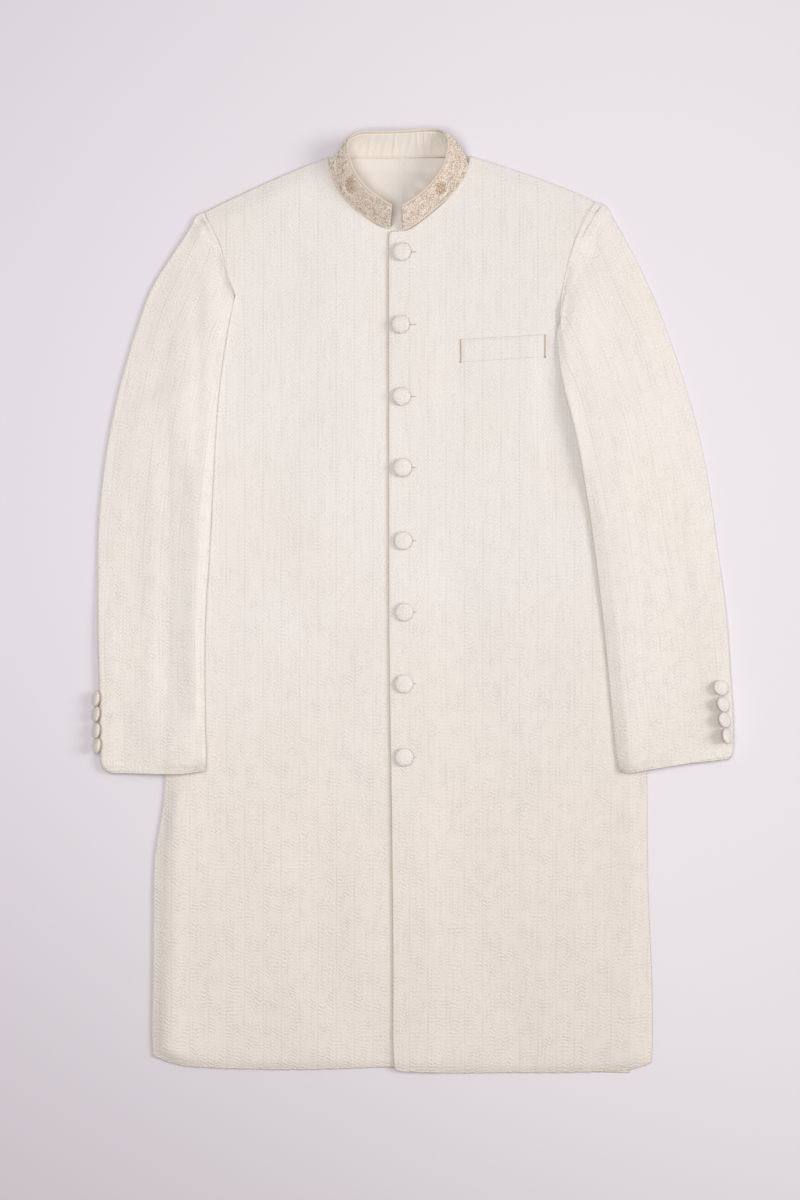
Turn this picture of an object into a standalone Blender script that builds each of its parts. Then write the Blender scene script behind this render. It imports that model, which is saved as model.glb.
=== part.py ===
"""A sherwani coat, buttoned and laid flat on its back.

Run with: blender --background --python part.py

Lengths are in millimetres until a mesh is made. x points to the wearer's left, y to the neck and
z up, from the surface that the coat lies on. The origin is on the underside of the back.
"""

import math

import bmesh
import bpy
import numpy as np
from mathutils import Vector
from mathutils.bvhtree import BVHTree

MM = 0.001
CLOTH_ROUGHNESS = 0.75

# Walls and gaps
SEAM_GAP = 0.3
BACK_WALL = 1.8
FRONT_WALL = 2.6
LINING_WALL = 1.0
SLEEVE_WALL = 2.2
CUFF_WALL = 3.0
COLLAR_WALL = 1.8
FACING_WALL = 1.0
WELT_WALL = 1.5
# More room where two curved faces lie on each other
FACET_GAP = 0.22

# Least distance between two points of a cut edge
LEAST_STEP = 1.0

# How the body lies
FRONT_LOFT = 2.5
EDGE_ROLL = 22.0
ROLL_POWER = 2.2
SHOULDER_EXTRA = 2.6
SHOULDER_SPREAD = 62.0
SHOULDER_CENTRE = (150.0, 442.0)
LAP_FULL = 28.0
LAP_END = 62.0
LAP_SINK = 1.15
LAP_GAP = 0.4
SINK_FULL = -14.0
SINK_END = -62.0
FOLD_FADE_OUT = 0.12
FOLD_FADE_IN = 0.15

# How the sleeves lie
LEAST_INSIDE = 0.25
SLEEVE_FOLD_RADIUS = 3.7
CUFF_FOLD_RADIUS = 4.5
HEAD_FOLD_RADIUS = 2.4
SLEEVE_SWELL = 0.9
SLEEVE_LIFT = 1.1
SLEEVE_DROP = 26.0
SLEEVE_WRAP = 16.0
ARMHOLE_CLEAR = 0.6
UNDERARM_START = 4.0
UNDERARM_RISE = 40.0
BACK_HEAD_STEPS = 7
UNDER_PRONG = 0.50
PRONG_DROP = 6.0
SLEEVE_WIDTH = 120.0
# Shares of a sleeve's length where its cuff's and its head's shape fade out
CUFF_BEND = 0.09
CUFF_SWELL = (0.05, 0.2)
HEAD_BEND = 0.8
HEAD_THIN = 0.9
HEAD_SEAM = 0.93
SEAM_STEP = 0.4

# Buttons
FRONT_BUTTON_RADIUS = 10.6
FRONT_BUTTON_HEIGHT = 6.2
CUFF_BUTTON_RADIUS = 9.0
CUFF_BUTTON_HEIGHT = 6.2
BUTTON_SIDES = 18
DROP_FROM = 60.0

# Cut edges of the two fronts, one row a point: x, y
CENTRE_EDGE = {
    "left": [(-5.5, -539.0), (-7.3, -533.0), (-8.4, -402.0), (-10.4, -238.0), (-13.0, -46.0),
             (-13.2, 180.0), (-13.2, 412.0), (-12.8, 420.0)],
    "right": [(21.0, -537.0), (20.0, 0.0), (20.0, 434.0)],
}
HEM_EDGE = {
    "left": [(-5.5, -539.0), (-1.2, -540.7), (19.6, -541.6), (62.0, -543.3), (126.0, -542.7),
             (190.0, -542.7), (230.0, -541.6), (264.0, -539.5), (275.0, -536.3), (288.4, -531.5)],
    "right": [(21.0, -537.0), (-9.4, -536.1), (-53.0, -537.7), (-114.0, -539.3), (-176.0, -538.7),
              (-217.0, -537.2), (-248.0, -534.9), (-268.0, -529.6), (-283.2, -523.5)],
}
SIDE_EDGE = {
    "left": [(288.4, -531.5), (289.5, -515.0), (289.1, -442.0), (284.6, -330.0), (283.2, -196.0),
             (280.0, -100.0), (274.0, 50.0), (266.8, 216.0)],
    "right": [(-283.2, -523.5), (-284.3, -512.0), (-283.5, -401.0), (-281.8, -299.0), (-276.6, -263.0),
              (-271.2, -230.0), (-269.0, -195.0), (-266.0, -100.0), (-263.5, 50.0), (-264.5, 216.0)],
}
LOW_ARMHOLE = {
    "left": [(266.8, 216.0), (258.0, 222.0), (248.0, 230.0), (236.0, 238.5), (224.0, 250.0),
             (212.0, 268.0), (199.0, 290.0), (188.0, 306.0), (180.4, 316.3)],
    "right": [(-264.5, 216.0), (-258.0, 222.0), (-250.0, 230.0), (-240.0, 240.0), (-228.0, 253.0),
              (-216.0, 275.0), (-205.0, 305.0), (-196.0, 332.0), (-189.2, 349.6)],
}
FRONT_ARMHOLE = {
    "left": [(180.4, 316.3), (183.1, 329.5), (185.5, 353.1), (190.6, 380.0), (197.2, 403.7),
             (204.5, 424.5), (215.5, 447.0), (223.0, 457.5)],
    "right": [(-189.2, 349.6), (-193.7, 363.4), (-198.6, 379.5), (-202.0, 394.9), (-207.4, 412.0),
              (-215.6, 428.0), (-223.5, 445.5)],
}
SHOULDER_EDGE = {
    "left": [(79.7, 510.0), (118.0, 498.0), (151.8, 486.5), (188.6, 472.7), (215.0, 461.6),
             (223.0, 457.5)],
    "right": [(-82.5, 508.5), (-118.0, 494.5), (-152.1, 479.6), (-199.4, 457.7), (-223.5, 445.5)],
}
NECK_EDGE = {
    "left": [(-12.8, 420.0), (-11.0, 422.6), (5.0, 423.2), (10.5, 424.6), (21.4, 432.0),
             (34.5, 442.0), (49.9, 455.2), (64.3, 470.6), (73.0, 483.8), (77.8, 496.0), (79.7, 510.0)],
    "right": [(20.0, 434.0), (-4.0, 434.0), (-12.0, 428.0), (-20.0, 427.5), (-39.2, 438.6),
              (-54.6, 449.7), (-65.6, 461.7), (-74.4, 475.0), (-79.9, 490.4), (-82.5, 508.5)],
}
BACK_HEM = [(-282.0, -520.5), (-267.0, -527.5), (-247.0, -533.0), (-176.0, -537.0), (-53.0, -536.5),
            (62.0, -540.5), (190.0, -541.6), (230.0, -542.8), (264.0, -543.6)]
LEFT_VENT = [(264.0, -543.6), (266.5, -480.0), (273.0, -400.0), (283.6, -315.0)]
BACK_NECK = [(-82.5, 508.5), (-57.0, 509.5), (0.0, 509.0), (51.0, 511.0), (79.7, 510.0)]

# Folded edges of the sleeves, one row a point from the cuff up: y, x
SLEEVE_INNER = {
    "left": [(-195.2, 250.1), (-175.0, 247.5), (-151.0, 245.0), (-104.0, 240.2), (-15.0, 231.2),
             (80.0, 219.2), (181.0, 202.4), (259.0, 184.0), (302.0, 179.7), (316.3, 180.4)],
    "right": [(-195.5, -221.8), (-175.0, -221.6), (-151.0, -222.5), (-31.0, -223.1), (46.0, -218.5),
              (114.0, -215.0), (230.0, -208.0), (299.0, -199.0), (349.6, -189.2)],
}
SLEEVE_OUTER = {
    "left": [(-182.8, 377.5), (-177.5, 381.2), (-149.0, 382.6), (-84.0, 379.3), (-15.0, 374.4),
             (53.0, 365.7), (103.5, 359.1), (154.0, 350.8), (215.0, 337.0), (289.0, 313.6),
             (343.0, 293.3), (393.5, 269.8), (436.0, 246.1), (453.0, 236.0), (457.5, 223.5)],
    "right": [(-198.8, -333.0), (-193.0, -341.0), (-180.6, -344.5), (-103.5, -345.7), (-35.0, -347.6),
              (46.0, -347.8), (96.6, -346.2), (171.4, -337.6), (238.4, -324.3), (299.0, -307.3),
              (356.5, -287.0), (390.0, -266.8), (430.0, -240.0), (439.5, -235.5), (444.2, -230.5),
              (445.5, -224.0)],
}
# Cuff edges from the inner fold to the outer one: x, y
CUFF_EDGE = {
    "left": [(250.1, -195.2), (259.9, -198.4), (270.3, -196.7), (300.6, -192.0), (330.0, -187.5),
             (353.4, -185.2), (377.5, -182.8)],
    "right": [(-221.8, -195.5), (-246.0, -198.8), (-267.0, -199.4), (-300.0, -199.2), (-333.0, -198.8)],
}
# Share of the sleeve's length at each ring, from the cuff to the armhole
SLEEVE_RINGS = [0.0, 0.01, 0.026, 0.05, 0.09, 0.14, 0.19, 0.24, 0.295, 0.35, 0.405, 0.46, 0.515, 0.57,
                0.62, 0.67, 0.72, 0.765, 0.81, 0.85, 0.89, 0.925, 0.955, 0.978, 0.993, 1.0]

# Folds of the fronts and of the sleeves: x and y of both ends, half width, height
FRONT_FOLDS = [
    (150.0, 305.0, 158.0, 140.0, 10.0, 0.9),
    (249.0, -200.0, 236.0, -240.0, 6.0, 0.7),
    (262.0, -205.0, 258.0, -260.0, 7.0, 0.6),
    (-255.0, -215.0, -262.0, -480.0, 8.0, 0.5),
]
SLEEVE_FOLDS = [
    (-232.0, 372.0, -230.0, 110.0, 8.0, -1.3),
    (-230.0, 110.0, -234.0, -110.0, 8.0, -0.9),
    (-227.0, 390.0, -199.0, 364.0, 5.0, -1.1),
    (232.0, 421.0, 199.0, 363.0, 6.0, -1.4),
    (199.0, 363.0, 191.0, 345.0, 5.0, -1.0),
    (206.0, 335.0, 232.0, 150.0, 9.0, 0.7),
    (243.0, -104.0, 262.0, -98.0, 5.0, -0.7),
]

# Stand collar from the right front end round the back: x, y of the seam, x, y, z of the top edge, bulge
COLLAR_STATIONS = [
    (-11.0, 427.0, -9.4, 447.6, 33.0, 1.2),
    (-20.0, 429.5, -16.5, 451.5, 33.0, 1.2),
    (-39.2, 440.0, -34.6, 464.6, 34.0, 1.2),
    (-54.6, 451.2, -45.3, 476.0, 35.0, 1.2),
    (-65.6, 463.2, -52.7, 487.8, 36.0, 1.2),
    (-73.8, 476.2, -56.8, 497.6, 37.0, 1.2),
    (-79.0, 489.0, -59.5, 507.6, 37.5, 1.2),
    (-79.8, 497.5, -60.6, 516.0, 37.0, 1.2),
    (-76.6, 503.6, -58.6, 523.4, 34.8, 1.5),
    (-69.6, 506.6, -53.6, 528.4, 32.0, 1.8),
    (-58.0, 507.6, -45.2, 532.2, 29.0, 1.8),
    (-32.0, 507.4, -22.8, 534.0, 25.5, 1.5),
    (-8.0, 507.2, 0.0, 534.6, 24.5, 1.2),
    (23.0, 507.8, 22.8, 535.8, 25.5, 1.5),
    (51.0, 508.6, 41.0, 535.6, 28.5, 2.5),
    (67.0, 508.0, 49.0, 531.8, 33.0, 3.8),
    (74.6, 504.2, 53.8, 524.6, 35.8, 4.4),
    (77.0, 497.6, 55.2, 516.4, 37.2, 4.0),
    (76.0, 489.8, 54.2, 507.8, 37.5, 2.8),
    (71.8, 481.0, 51.5, 497.7, 37.0, 1.6),
    (63.4, 470.0, 45.9, 486.0, 36.0, 1.2),
    (49.2, 456.8, 37.4, 474.3, 35.0, 1.2),
    (33.8, 443.6, 27.2, 463.8, 34.5, 1.2),
    (20.8, 433.6, 15.3, 454.6, 34.0, 1.2),
    (11.0, 427.6, 7.6, 449.6, 34.0, 1.2),
    (3.0, 424.8, 2.0, 446.4, 34.0, 1.2),
]

# Corners of the breast welt: x, y, from the lower corner at the centre front round
WELT_CORNERS = [(69.4, 272.8), (166.6, 278.8), (166.6, 304.4), (69.2, 299.0)]

FRONT_BUTTONS = [(1.8, 399.0), (0.4, 315.7), (1.6, 233.2), (2.6, 151.8), (3.4, 67.9), (4.6, -13.8),
                 (4.2, -96.0), (4.8, -180.0)]
# Cuff buttons from the top one down: x, y, lean outwards in degrees
CUFF_BUTTONS = {
    "left": [(366.0, -101.0, 16.0), (367.4, -119.8, 34.0), (368.3, -137.6, 39.0), (370.9, -155.8, 49.0)],
    "right": [(-345.6, -113.6, 60.0), (-345.6, -131.2, 60.0), (-345.2, -150.0, 60.0),
              (-344.2, -167.2, 60.0)],
}
CUFF_BUTTON_SHINGLE = 18.0


# ---- Lines and folds ----

def smoothstep(low, high, value):
    t = np.clip((value - low) / (high - low), 0.0, 1.0)
    return t * t * (3.0 - 2.0 * t)


def rounded(points, steps=6):
    """A smooth line through the points, as an array with a row a point, with no overshoot."""
    knots = np.array(points, float)
    knots = np.vstack([2 * knots[0] - knots[1], knots, 2 * knots[-1] - knots[-2]])
    pace = np.sqrt(np.linalg.norm(np.diff(knots, axis=0), axis=1))[:, None]
    step = np.diff(knots, axis=0) / pace
    both = (knots[2:] - knots[:-2]) / (pace[:-1] + pace[1:])
    slope = step[:-1] + step[1:] - both
    rows = []
    for i in range(len(knots) - 3):
        start, end = knots[i + 1], knots[i + 2]
        leave, arrive = slope[i] * pace[i + 1], slope[i + 1] * pace[i + 1]
        for t in np.arange(steps) / steps:
            bend = (3 * (end - start) - 2 * leave - arrive) * t ** 2
            rows.append(start + leave * t + bend + (2 * (start - end) + leave + arrive) * t ** 3)
    rows.append(knots[-2])
    return np.array(rows)


def along(line, share):
    """Points at these shares of the line's length."""
    length = np.r_[0.0, np.cumsum(np.hypot(*np.diff(line[:, :2], axis=0).T))]
    return np.stack([np.interp(share, length / length[-1], column) for column in line.T], axis=-1)


def distance_to(line, x, y):
    """Shortest distance from each point to a line of short straight pieces."""
    nearest = np.full(np.shape(x), 1e6)
    for (ax, ay), (bx, by) in zip(line[:-1, :2], line[1:, :2]):
        dx, dy = bx - ax, by - ay
        t = np.clip(((x - ax) * dx + (y - ay) * dy) / (dx * dx + dy * dy), 0.0, 1.0)
        nearest = np.minimum(nearest, np.hypot(x - ax - t * dx, y - ay - t * dy))
    return nearest


def fold_height(folds, x, y):
    """Sum of the ridges and troughs at each point."""
    height = np.zeros(np.shape(x))
    for ax, ay, bx, by, width, rise in folds:
        dx, dy = bx - ax, by - ay
        t = ((x - ax) * dx + (y - ay) * dy) / (dx * dx + dy * dy)
        across = np.hypot(x - ax - np.clip(t, 0, 1) * dx, y - ay - np.clip(t, 0, 1) * dy)
        ends = smoothstep(-FOLD_FADE_OUT, FOLD_FADE_IN, t)
        ends = ends * smoothstep(1 + FOLD_FADE_OUT, 1 - FOLD_FADE_IN, t)
        height = height + rise * ends * np.exp(-(across / width) ** 2)
    return height


SHOULDER = {side: rounded(SHOULDER_EDGE[side]) for side in ("left", "right")}
HEM = {side: rounded(HEM_EDGE[side]) for side in ("left", "right")}
SIDE = {side: rounded(SIDE_EDGE[side]) for side in ("left", "right")}
SIGN = {"left": 1.0, "right": -1.0}


# ---- Heights of the body ----

def front_under(side, x, y):
    """Height of the underside of a front."""
    edge = np.minimum(distance_to(SHOULDER[side], x, y), distance_to(SIDE[side], x, y))
    edge = np.minimum(edge, distance_to(HEM[side], x, y))
    lift = 1.0 - (1.0 - np.clip(edge / EDGE_ROLL, 0.0, 1.0)) ** ROLL_POWER
    height = BACK_WALL + SEAM_GAP + FRONT_LOFT * lift + fold_height(FRONT_FOLDS, x, y) * lift
    if side == "left":
        return height + (FRONT_WALL + LAP_GAP - LAP_SINK * lift) * smoothstep(LAP_END, LAP_FULL, x)
    return height - LAP_SINK * lift * smoothstep(SINK_END, SINK_FULL, x)


def front_wall(side, x, y):
    """Thickness of a front, more over the shoulder."""
    away = np.hypot(np.abs(x) - SHOULDER_CENTRE[0], y - SHOULDER_CENTRE[1])
    inside = smoothstep(0.0, EDGE_ROLL, distance_to(SHOULDER[side], x, y))
    return FRONT_WALL + SHOULDER_EXTRA * inside * np.exp(-(away / SHOULDER_SPREAD) ** 2)


def front_top(side, x, y):
    return front_under(side, x, y) + front_wall(side, x, y)


def sleeve_edges(side, share):
    """Ends of a sleeve's ring on its inner and its outer fold."""
    ends = []
    for line in (INNER_FOLD[side], OUTER_FOLD[side]):
        y = line[0, 0] + (line[-1, 0] - line[0, 0]) * share
        ends.append(np.array([np.interp(y, line[:, 0], line[:, 1]), y]))
    return ends


def sleeve_plan(side, share, part):
    """x, y at this part of a sleeve's ring, whose ends bend to the cuff's edge and to the armhole's."""
    inner, outer = sleeve_edges(side, share)
    point = inner + (outer - inner) * part
    cuff = 1.0 - float(smoothstep(0.0, CUFF_BEND, share))
    head = float(smoothstep(HEAD_BEND, 1.0, share))
    if cuff > 0:
        point = point + cuff * bow(CUFF[side], part)
    if head > 0:
        clear = np.array([SIGN[side] * (SEAM_GAP + FACET_GAP), 0.0])
        point = point + head * (bow(ARMHOLE[side], part) + clear)
    return point


def bow(edge, part):
    """How far an edge bends away from the straight line between its ends."""
    return along(edge, part) - edge[0] - part * (edge[-1] - edge[0])


def back_armhole(side):
    """The back's armhole from the underarm to the shoulder, where the under sleeve meets it."""
    underarm = SIDE[side][-1]
    points = [underarm]
    for share in SLEEVE_RINGS:
        point = sleeve_plan(side, share, UNDER_PRONG)
        if point[1] > underarm[1] + UNDERARM_START:
            points.append(point)
    rest = along(ARMHOLE[side], np.linspace(UNDER_PRONG, 1.0, BACK_HEAD_STEPS)[1:])
    return np.vstack([points, rest])


INNER_FOLD = {side: rounded(SLEEVE_INNER[side]) for side in ("left", "right")}
OUTER_FOLD = {side: rounded(SLEEVE_OUTER[side]) for side in ("left", "right")}
CUFF = {side: rounded(CUFF_EDGE[side]) for side in ("left", "right")}
ARMHOLE = {side: rounded(FRONT_ARMHOLE[side]) for side in ("left", "right")}
BACK_ARMHOLE = {side: back_armhole(side) for side in ("left", "right")}


def body_side(side, y):
    """How far out the body reaches at this height: the side seam, then the back's armhole."""
    line = np.vstack([SIDE[side], BACK_ARMHOLE[side][1:]])
    return np.interp(y, line[:, 1], np.abs(line[:, 0]))


def sleeve_bed(side, x, y):
    """Height of what a sleeve lies on, falling to the surface beyond the body's side."""
    inside = body_side(side, y) - np.abs(x)
    inner_x = SIGN[side] * np.minimum(np.abs(x), body_side(side, y))
    underarm = SIDE[side][-1, 1]
    shift = SLEEVE_DROP * smoothstep(underarm, underarm + UNDERARM_RISE, y)
    front = front_top(side, inner_x, y) + SLEEVE_LIFT
    return front * smoothstep(shift - SLEEVE_DROP, shift, inside)


# ---- Making the pieces ----

def clear_scene():
    for old in list(bpy.data.objects):
        bpy.data.objects.remove(old, do_unlink=True)


def cloth(name, colour):
    material = bpy.data.materials.new(name)
    material.use_nodes = True
    shader = material.node_tree.nodes["Principled BSDF"]
    shader.inputs["Base Color"].default_value = (*colour, 1.0)
    shader.inputs["Roughness"].default_value = CLOTH_ROUGHNESS
    shader.inputs["Metallic"].default_value = 0.0
    return material


def add_object(name, points, faces, colour):
    """A closed mesh from points in millimetres, with its faces turned outwards."""
    mesh = bpy.data.meshes.new(name)
    mesh.from_pydata([tuple(float(value) * MM for value in point) for point in points], [], faces)
    work = bmesh.new()
    work.from_mesh(mesh)
    bmesh.ops.delete(work, geom=[vert for vert in work.verts if not vert.link_faces], context="VERTS")
    bmesh.ops.recalc_face_normals(work, faces=work.faces)
    work.to_mesh(mesh)
    work.free()
    made = bpy.data.objects.new(name, mesh)
    made.data.materials.append(cloth(name, colour))
    bpy.context.scene.collection.objects.link(made)
    return made


def wall_faces(keep, joined=False):
    """Faces of a wall between an outer and an inner grid of points, round each cell that is kept."""
    rows, columns = keep.shape
    across = columns if joined else columns + 1
    inner = (rows + 1) * across

    def at(row, column, layer):
        return layer * inner + row * across + column % across

    def kept(row, column):
        if joined:
            column %= columns
        return 0 <= row < rows and 0 <= column < columns and keep[row, column]

    faces = []
    for row in range(rows):
        for column in range(columns):
            if not keep[row, column]:
                continue
            ring = [(row, column), (row, column + 1), (row + 1, column + 1), (row + 1, column)]
            faces.append([at(*corner, 0) for corner in ring])
            faces.append([at(*corner, 1) for corner in reversed(ring)])
            beside = [(row - 1, column), (row, column + 1), (row + 1, column), (row, column - 1)]
            for start, end, neighbour in zip(ring, ring[1:] + ring[:1], beside):
                if not kept(*neighbour):
                    faces.append([at(*end, 0), at(*start, 0), at(*start, 1), at(*end, 1)])
    return faces


def add_wall(name, outer, inner, colour, keep=None, joined=False):
    """A sheet of cloth between two grids of points."""
    if keep is None:
        keep = np.ones((outer.shape[0] - 1, outer.shape[1] - (0 if joined else 1)), bool)
    points = np.concatenate([outer.reshape(-1, 3), inner.reshape(-1, 3)])
    return add_object(name, points, wall_faces(keep, joined), colour)


def patch(bottom, top, start, end, across, up):
    """Grid of points inside four edges: across runs from start to end, up from bottom to top. The end's
    shape fades quickly, so that the columns near the start stay upright."""
    u, v = np.meshgrid(across, up)
    u, v = u[..., None], v[..., None]
    near_end = u ** END_FADE
    sides = (1 - near_end) * start(v[..., 0]) + near_end * end(v[..., 0])
    ends = (1 - v) * bottom(u[..., 0]) + v * top(u[..., 0])
    at_start = (1 - v) * bottom(0.0) + v * top(0.0)
    at_end = (1 - v) * bottom(1.0) + v * top(1.0)
    return sides + ends - (1 - near_end) * at_start - near_end * at_end


def chained(lines, joins):
    """One edge from several lines that meet, each over its own span of the edge's share."""
    def place(share):
        share = np.asarray(share, float)
        found = along(lines[-1], np.clip((share - joins[-1]) / (1.0 - joins[-1]), 0.0, 1.0))
        for line, low, high in reversed(list(zip(lines, joins, joins[1:]))):
            near = along(line, np.clip((share - low) / (high - low), 0.0, 1.0))
            found = np.where((share <= high)[..., None], near, found)
        return found
    return place


# ---- The body ----

# Shares of a front's width and length where its edges turn a corner
NECK_SHARE = 0.32
END_FADE = 2.0
UNDERARM_SHARE = 0.735
SLEEVE_SHARE = 0.885
FRONT_COLUMNS = [0.0, 0.05, 0.1, 0.15, 0.2, 0.24, 0.28, NECK_SHARE, 0.41, 0.5, 0.58, 0.66, 0.74,
                 0.81, 0.86, 0.9, 0.93, 0.955, 0.975, 0.99, 1.0]
FRONT_ROWS = [0.0, 0.005, 0.011, 0.02, 0.035, 0.08, 0.14, 0.2, 0.26, 0.32, 0.38, 0.44, 0.5, 0.56, 0.62,
              0.68, UNDERARM_SHARE, 0.765, 0.795, 0.825, 0.855, SLEEVE_SHARE, 0.91, 0.93, 0.95, 0.965,
              0.98, 0.991, 1.0]


def front_plan(side):
    """Grid of x, y over one front, from the hem up and from its edge at the centre out."""
    low, high = rounded(LOW_ARMHOLE[side]), rounded(FRONT_ARMHOLE[side])
    outer = chained([SIDE[side], low, high], [0.0, UNDERARM_SHARE, SLEEVE_SHARE])
    top = chained([rounded(NECK_EDGE[side]), SHOULDER[side]], [0.0, NECK_SHARE])
    centre = rounded(CENTRE_EDGE[side])
    return patch(lambda u: along(HEM[side], u), top, lambda v: along(centre, v), outer,
                 FRONT_COLUMNS, FRONT_ROWS)


def make_front(side, colour):
    plan = front_plan(side)
    x, y = plan[..., 0], plan[..., 1]
    under = front_under(side, x, y)
    outer = np.dstack([x, y, under + front_wall(side, x, y)])
    return add_wall("front_" + side, outer, np.dstack([x, y, under]), colour)


def back_outline():
    """The back's cut edge, once round from the lower right corner."""
    armhole = {side: BACK_ARMHOLE[side] - np.array([SIGN[side] * ARMHOLE_CLEAR, 0.0])
               for side in ("left", "right")}
    vent_top = LEFT_VENT[-1][1]
    left_side = SIDE["left"][SIDE["left"][:, 1] > vent_top]
    edges = [rounded(BACK_HEM, 3), rounded(LEFT_VENT, 3), left_side, armhole["left"],
             SHOULDER["left"][-2::-1], rounded(BACK_NECK, 2)[::-1], SHOULDER["right"][:-1],
             armhole["right"][::-1], SIDE["right"][::-1]]
    outline = [edges[0][0]]
    for edge in edges:
        outline.extend(point for point in edge if np.hypot(*(point - outline[-1])) > LEAST_STEP)
    while np.hypot(*(outline[-1] - outline[0])) < 3 * LEAST_STEP:
        outline.pop()
    return outline


def make_back(colour):
    """A flat sheet that the coat rests on."""
    outline = back_outline()
    count = len(outline)
    points = [(x, y, 0.0) for x, y in outline] + [(x, y, BACK_WALL) for x, y in outline]
    faces = [list(range(count))[::-1], list(range(count, 2 * count))]
    faces += [[i, (i + 1) % count, count + (i + 1) % count, count + i] for i in range(count)]
    return add_object("back", points, faces, colour)


LINING_TOP = 506.5
LINING_LOW = 404.0
LINING_NECK = 436.0
LINING_REACH = 5.0
LINING_CLEAR = 3.0
REACH_FADE = (495.0, 470.0)
LINING_ROWS = 12
LINING_COLUMNS = [0.0, 0.1, 0.2, 0.3, 0.4, 0.46, 0.49, 0.51, 0.54, 0.6, 0.7, 0.8, 0.9, 1.0]
PLEAT_X = 1.5
PLEAT_WIDTH = 3.0
PLEAT_RISE = 0.9
PLEAT_START = (438.0, 450.0)


def make_back_lining(colour):
    """The part of the back's lining that shows in the neck, with a pleat down its centre."""
    neck = {side: rounded(NECK_EDGE[side]) for side in ("left", "right")}
    neck = {side: line[line[:, 1].argmin():] for side, line in neck.items()}
    rows = []
    for height in np.linspace(LINING_LOW, LINING_TOP, LINING_ROWS):
        level = max(height, LINING_NECK)
        low, high = [np.interp(level, neck[side][:, 1], neck[side][:, 0]) for side in ("right", "left")]
        reach = LINING_REACH * float(smoothstep(*REACH_FADE, height)) - LINING_CLEAR
        low, high = low - reach, high + reach
        rows.append([(low + (high - low) * share, height) for share in LINING_COLUMNS])
    plan = np.array(rows)
    x, y = plan[..., 0], plan[..., 1]
    under = np.full(x.shape, BACK_WALL + SEAM_GAP)
    pleat = PLEAT_RISE * np.exp(-((x - PLEAT_X) / PLEAT_WIDTH) ** 2) * smoothstep(*PLEAT_START, y)
    outer = np.dstack([x, y, under + LINING_WALL + pleat])
    return add_wall("back_lining", outer, np.dstack([x, y, under]), colour)


def make_pocket_welt(colour):
    """A flat strip sewn on the left front, on the front's own surface."""
    low_in, low_out, high_out, high_in = [np.array(corner) for corner in WELT_CORNERS]
    across = np.linspace(0.0, 1.0, 11)[None, :, None]
    up = np.array([0.0, 0.5, 1.0])[:, None, None]
    plan = (1 - up) * ((1 - across) * low_in + across * low_out)
    plan = plan + up * ((1 - across) * high_in + across * high_out)
    x, y = plan[..., 0], plan[..., 1]
    under = front_top("left", x, y) + SEAM_GAP + FACET_GAP
    return add_wall("pocket_welt", np.dstack([x, y, under + WELT_WALL]), np.dstack([x, y, under]), colour)


# ---- Sleeves ----

def sleeve_ring(side, share, around, inset=0.0):
    """Points round one ring of a sleeve. around lists (kind, value): an angle on the inner or the outer
    fold, or a share of the width along the top or the bottom."""
    inner, outer = sleeve_edges(side, share)
    width = np.hypot(*(outer - inner))
    head = smoothstep(HEAD_THIN, 1.0, share)
    cuff = 1.0 - smoothstep(*CUFF_SWELL, share)
    radius = SLEEVE_FOLD_RADIUS + (CUFF_FOLD_RADIUS - SLEEVE_FOLD_RADIUS) * cuff
    radius = radius + (HEAD_FOLD_RADIUS - radius) * head
    wall = inset * (1.0 + (CUFF_WALL / SLEEVE_WALL - 1.0) * cuff)
    wall = min(wall, radius - LEAST_INSIDE)
    points = []
    for kind, value in around:
        if kind in ("inner", "outer"):
            reach = radius - (radius - wall) * math.cos(value)
            across = reach if kind == "inner" else width - reach
            rise = (radius - wall) * math.sin(value)
        else:
            across = radius + (width - 2 * radius) * value
            rise = radius - wall if kind == "top" else wall - radius
        x, y = sleeve_plan(side, share, across / width)
        bed_x, bed_y = sleeve_plan(side, share, min(max(across, radius), width - radius) / width)
        height = sleeve_bed(side, bed_x, bed_y) + radius + rise
        if kind == "top":
            height = height + SLEEVE_SWELL * (1 - head) * math.sin(math.pi * value)
            height = height + fold_height(SLEEVE_FOLDS, x, y)
            seam = smoothstep(HEAD_SEAM, 1.0, share) * smoothstep(0.0, 0.3, value)
            seam = seam * smoothstep(1.0, 0.85, value)
            height = height + (front_top(side, x, y) + SEAM_STEP - wall - height) * seam
        points.append((x, y, float(height)))
    return points


TOP_SHARES = [0.0, 0.035, 0.08, 0.14, 0.22, 0.32, 0.44, 0.57, 0.7, 0.82, 0.92, 1.0]
FOLD_ANGLES = [math.radians(angle) for angle in (-90, -52, -15, 20, 55, 90)]


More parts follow.
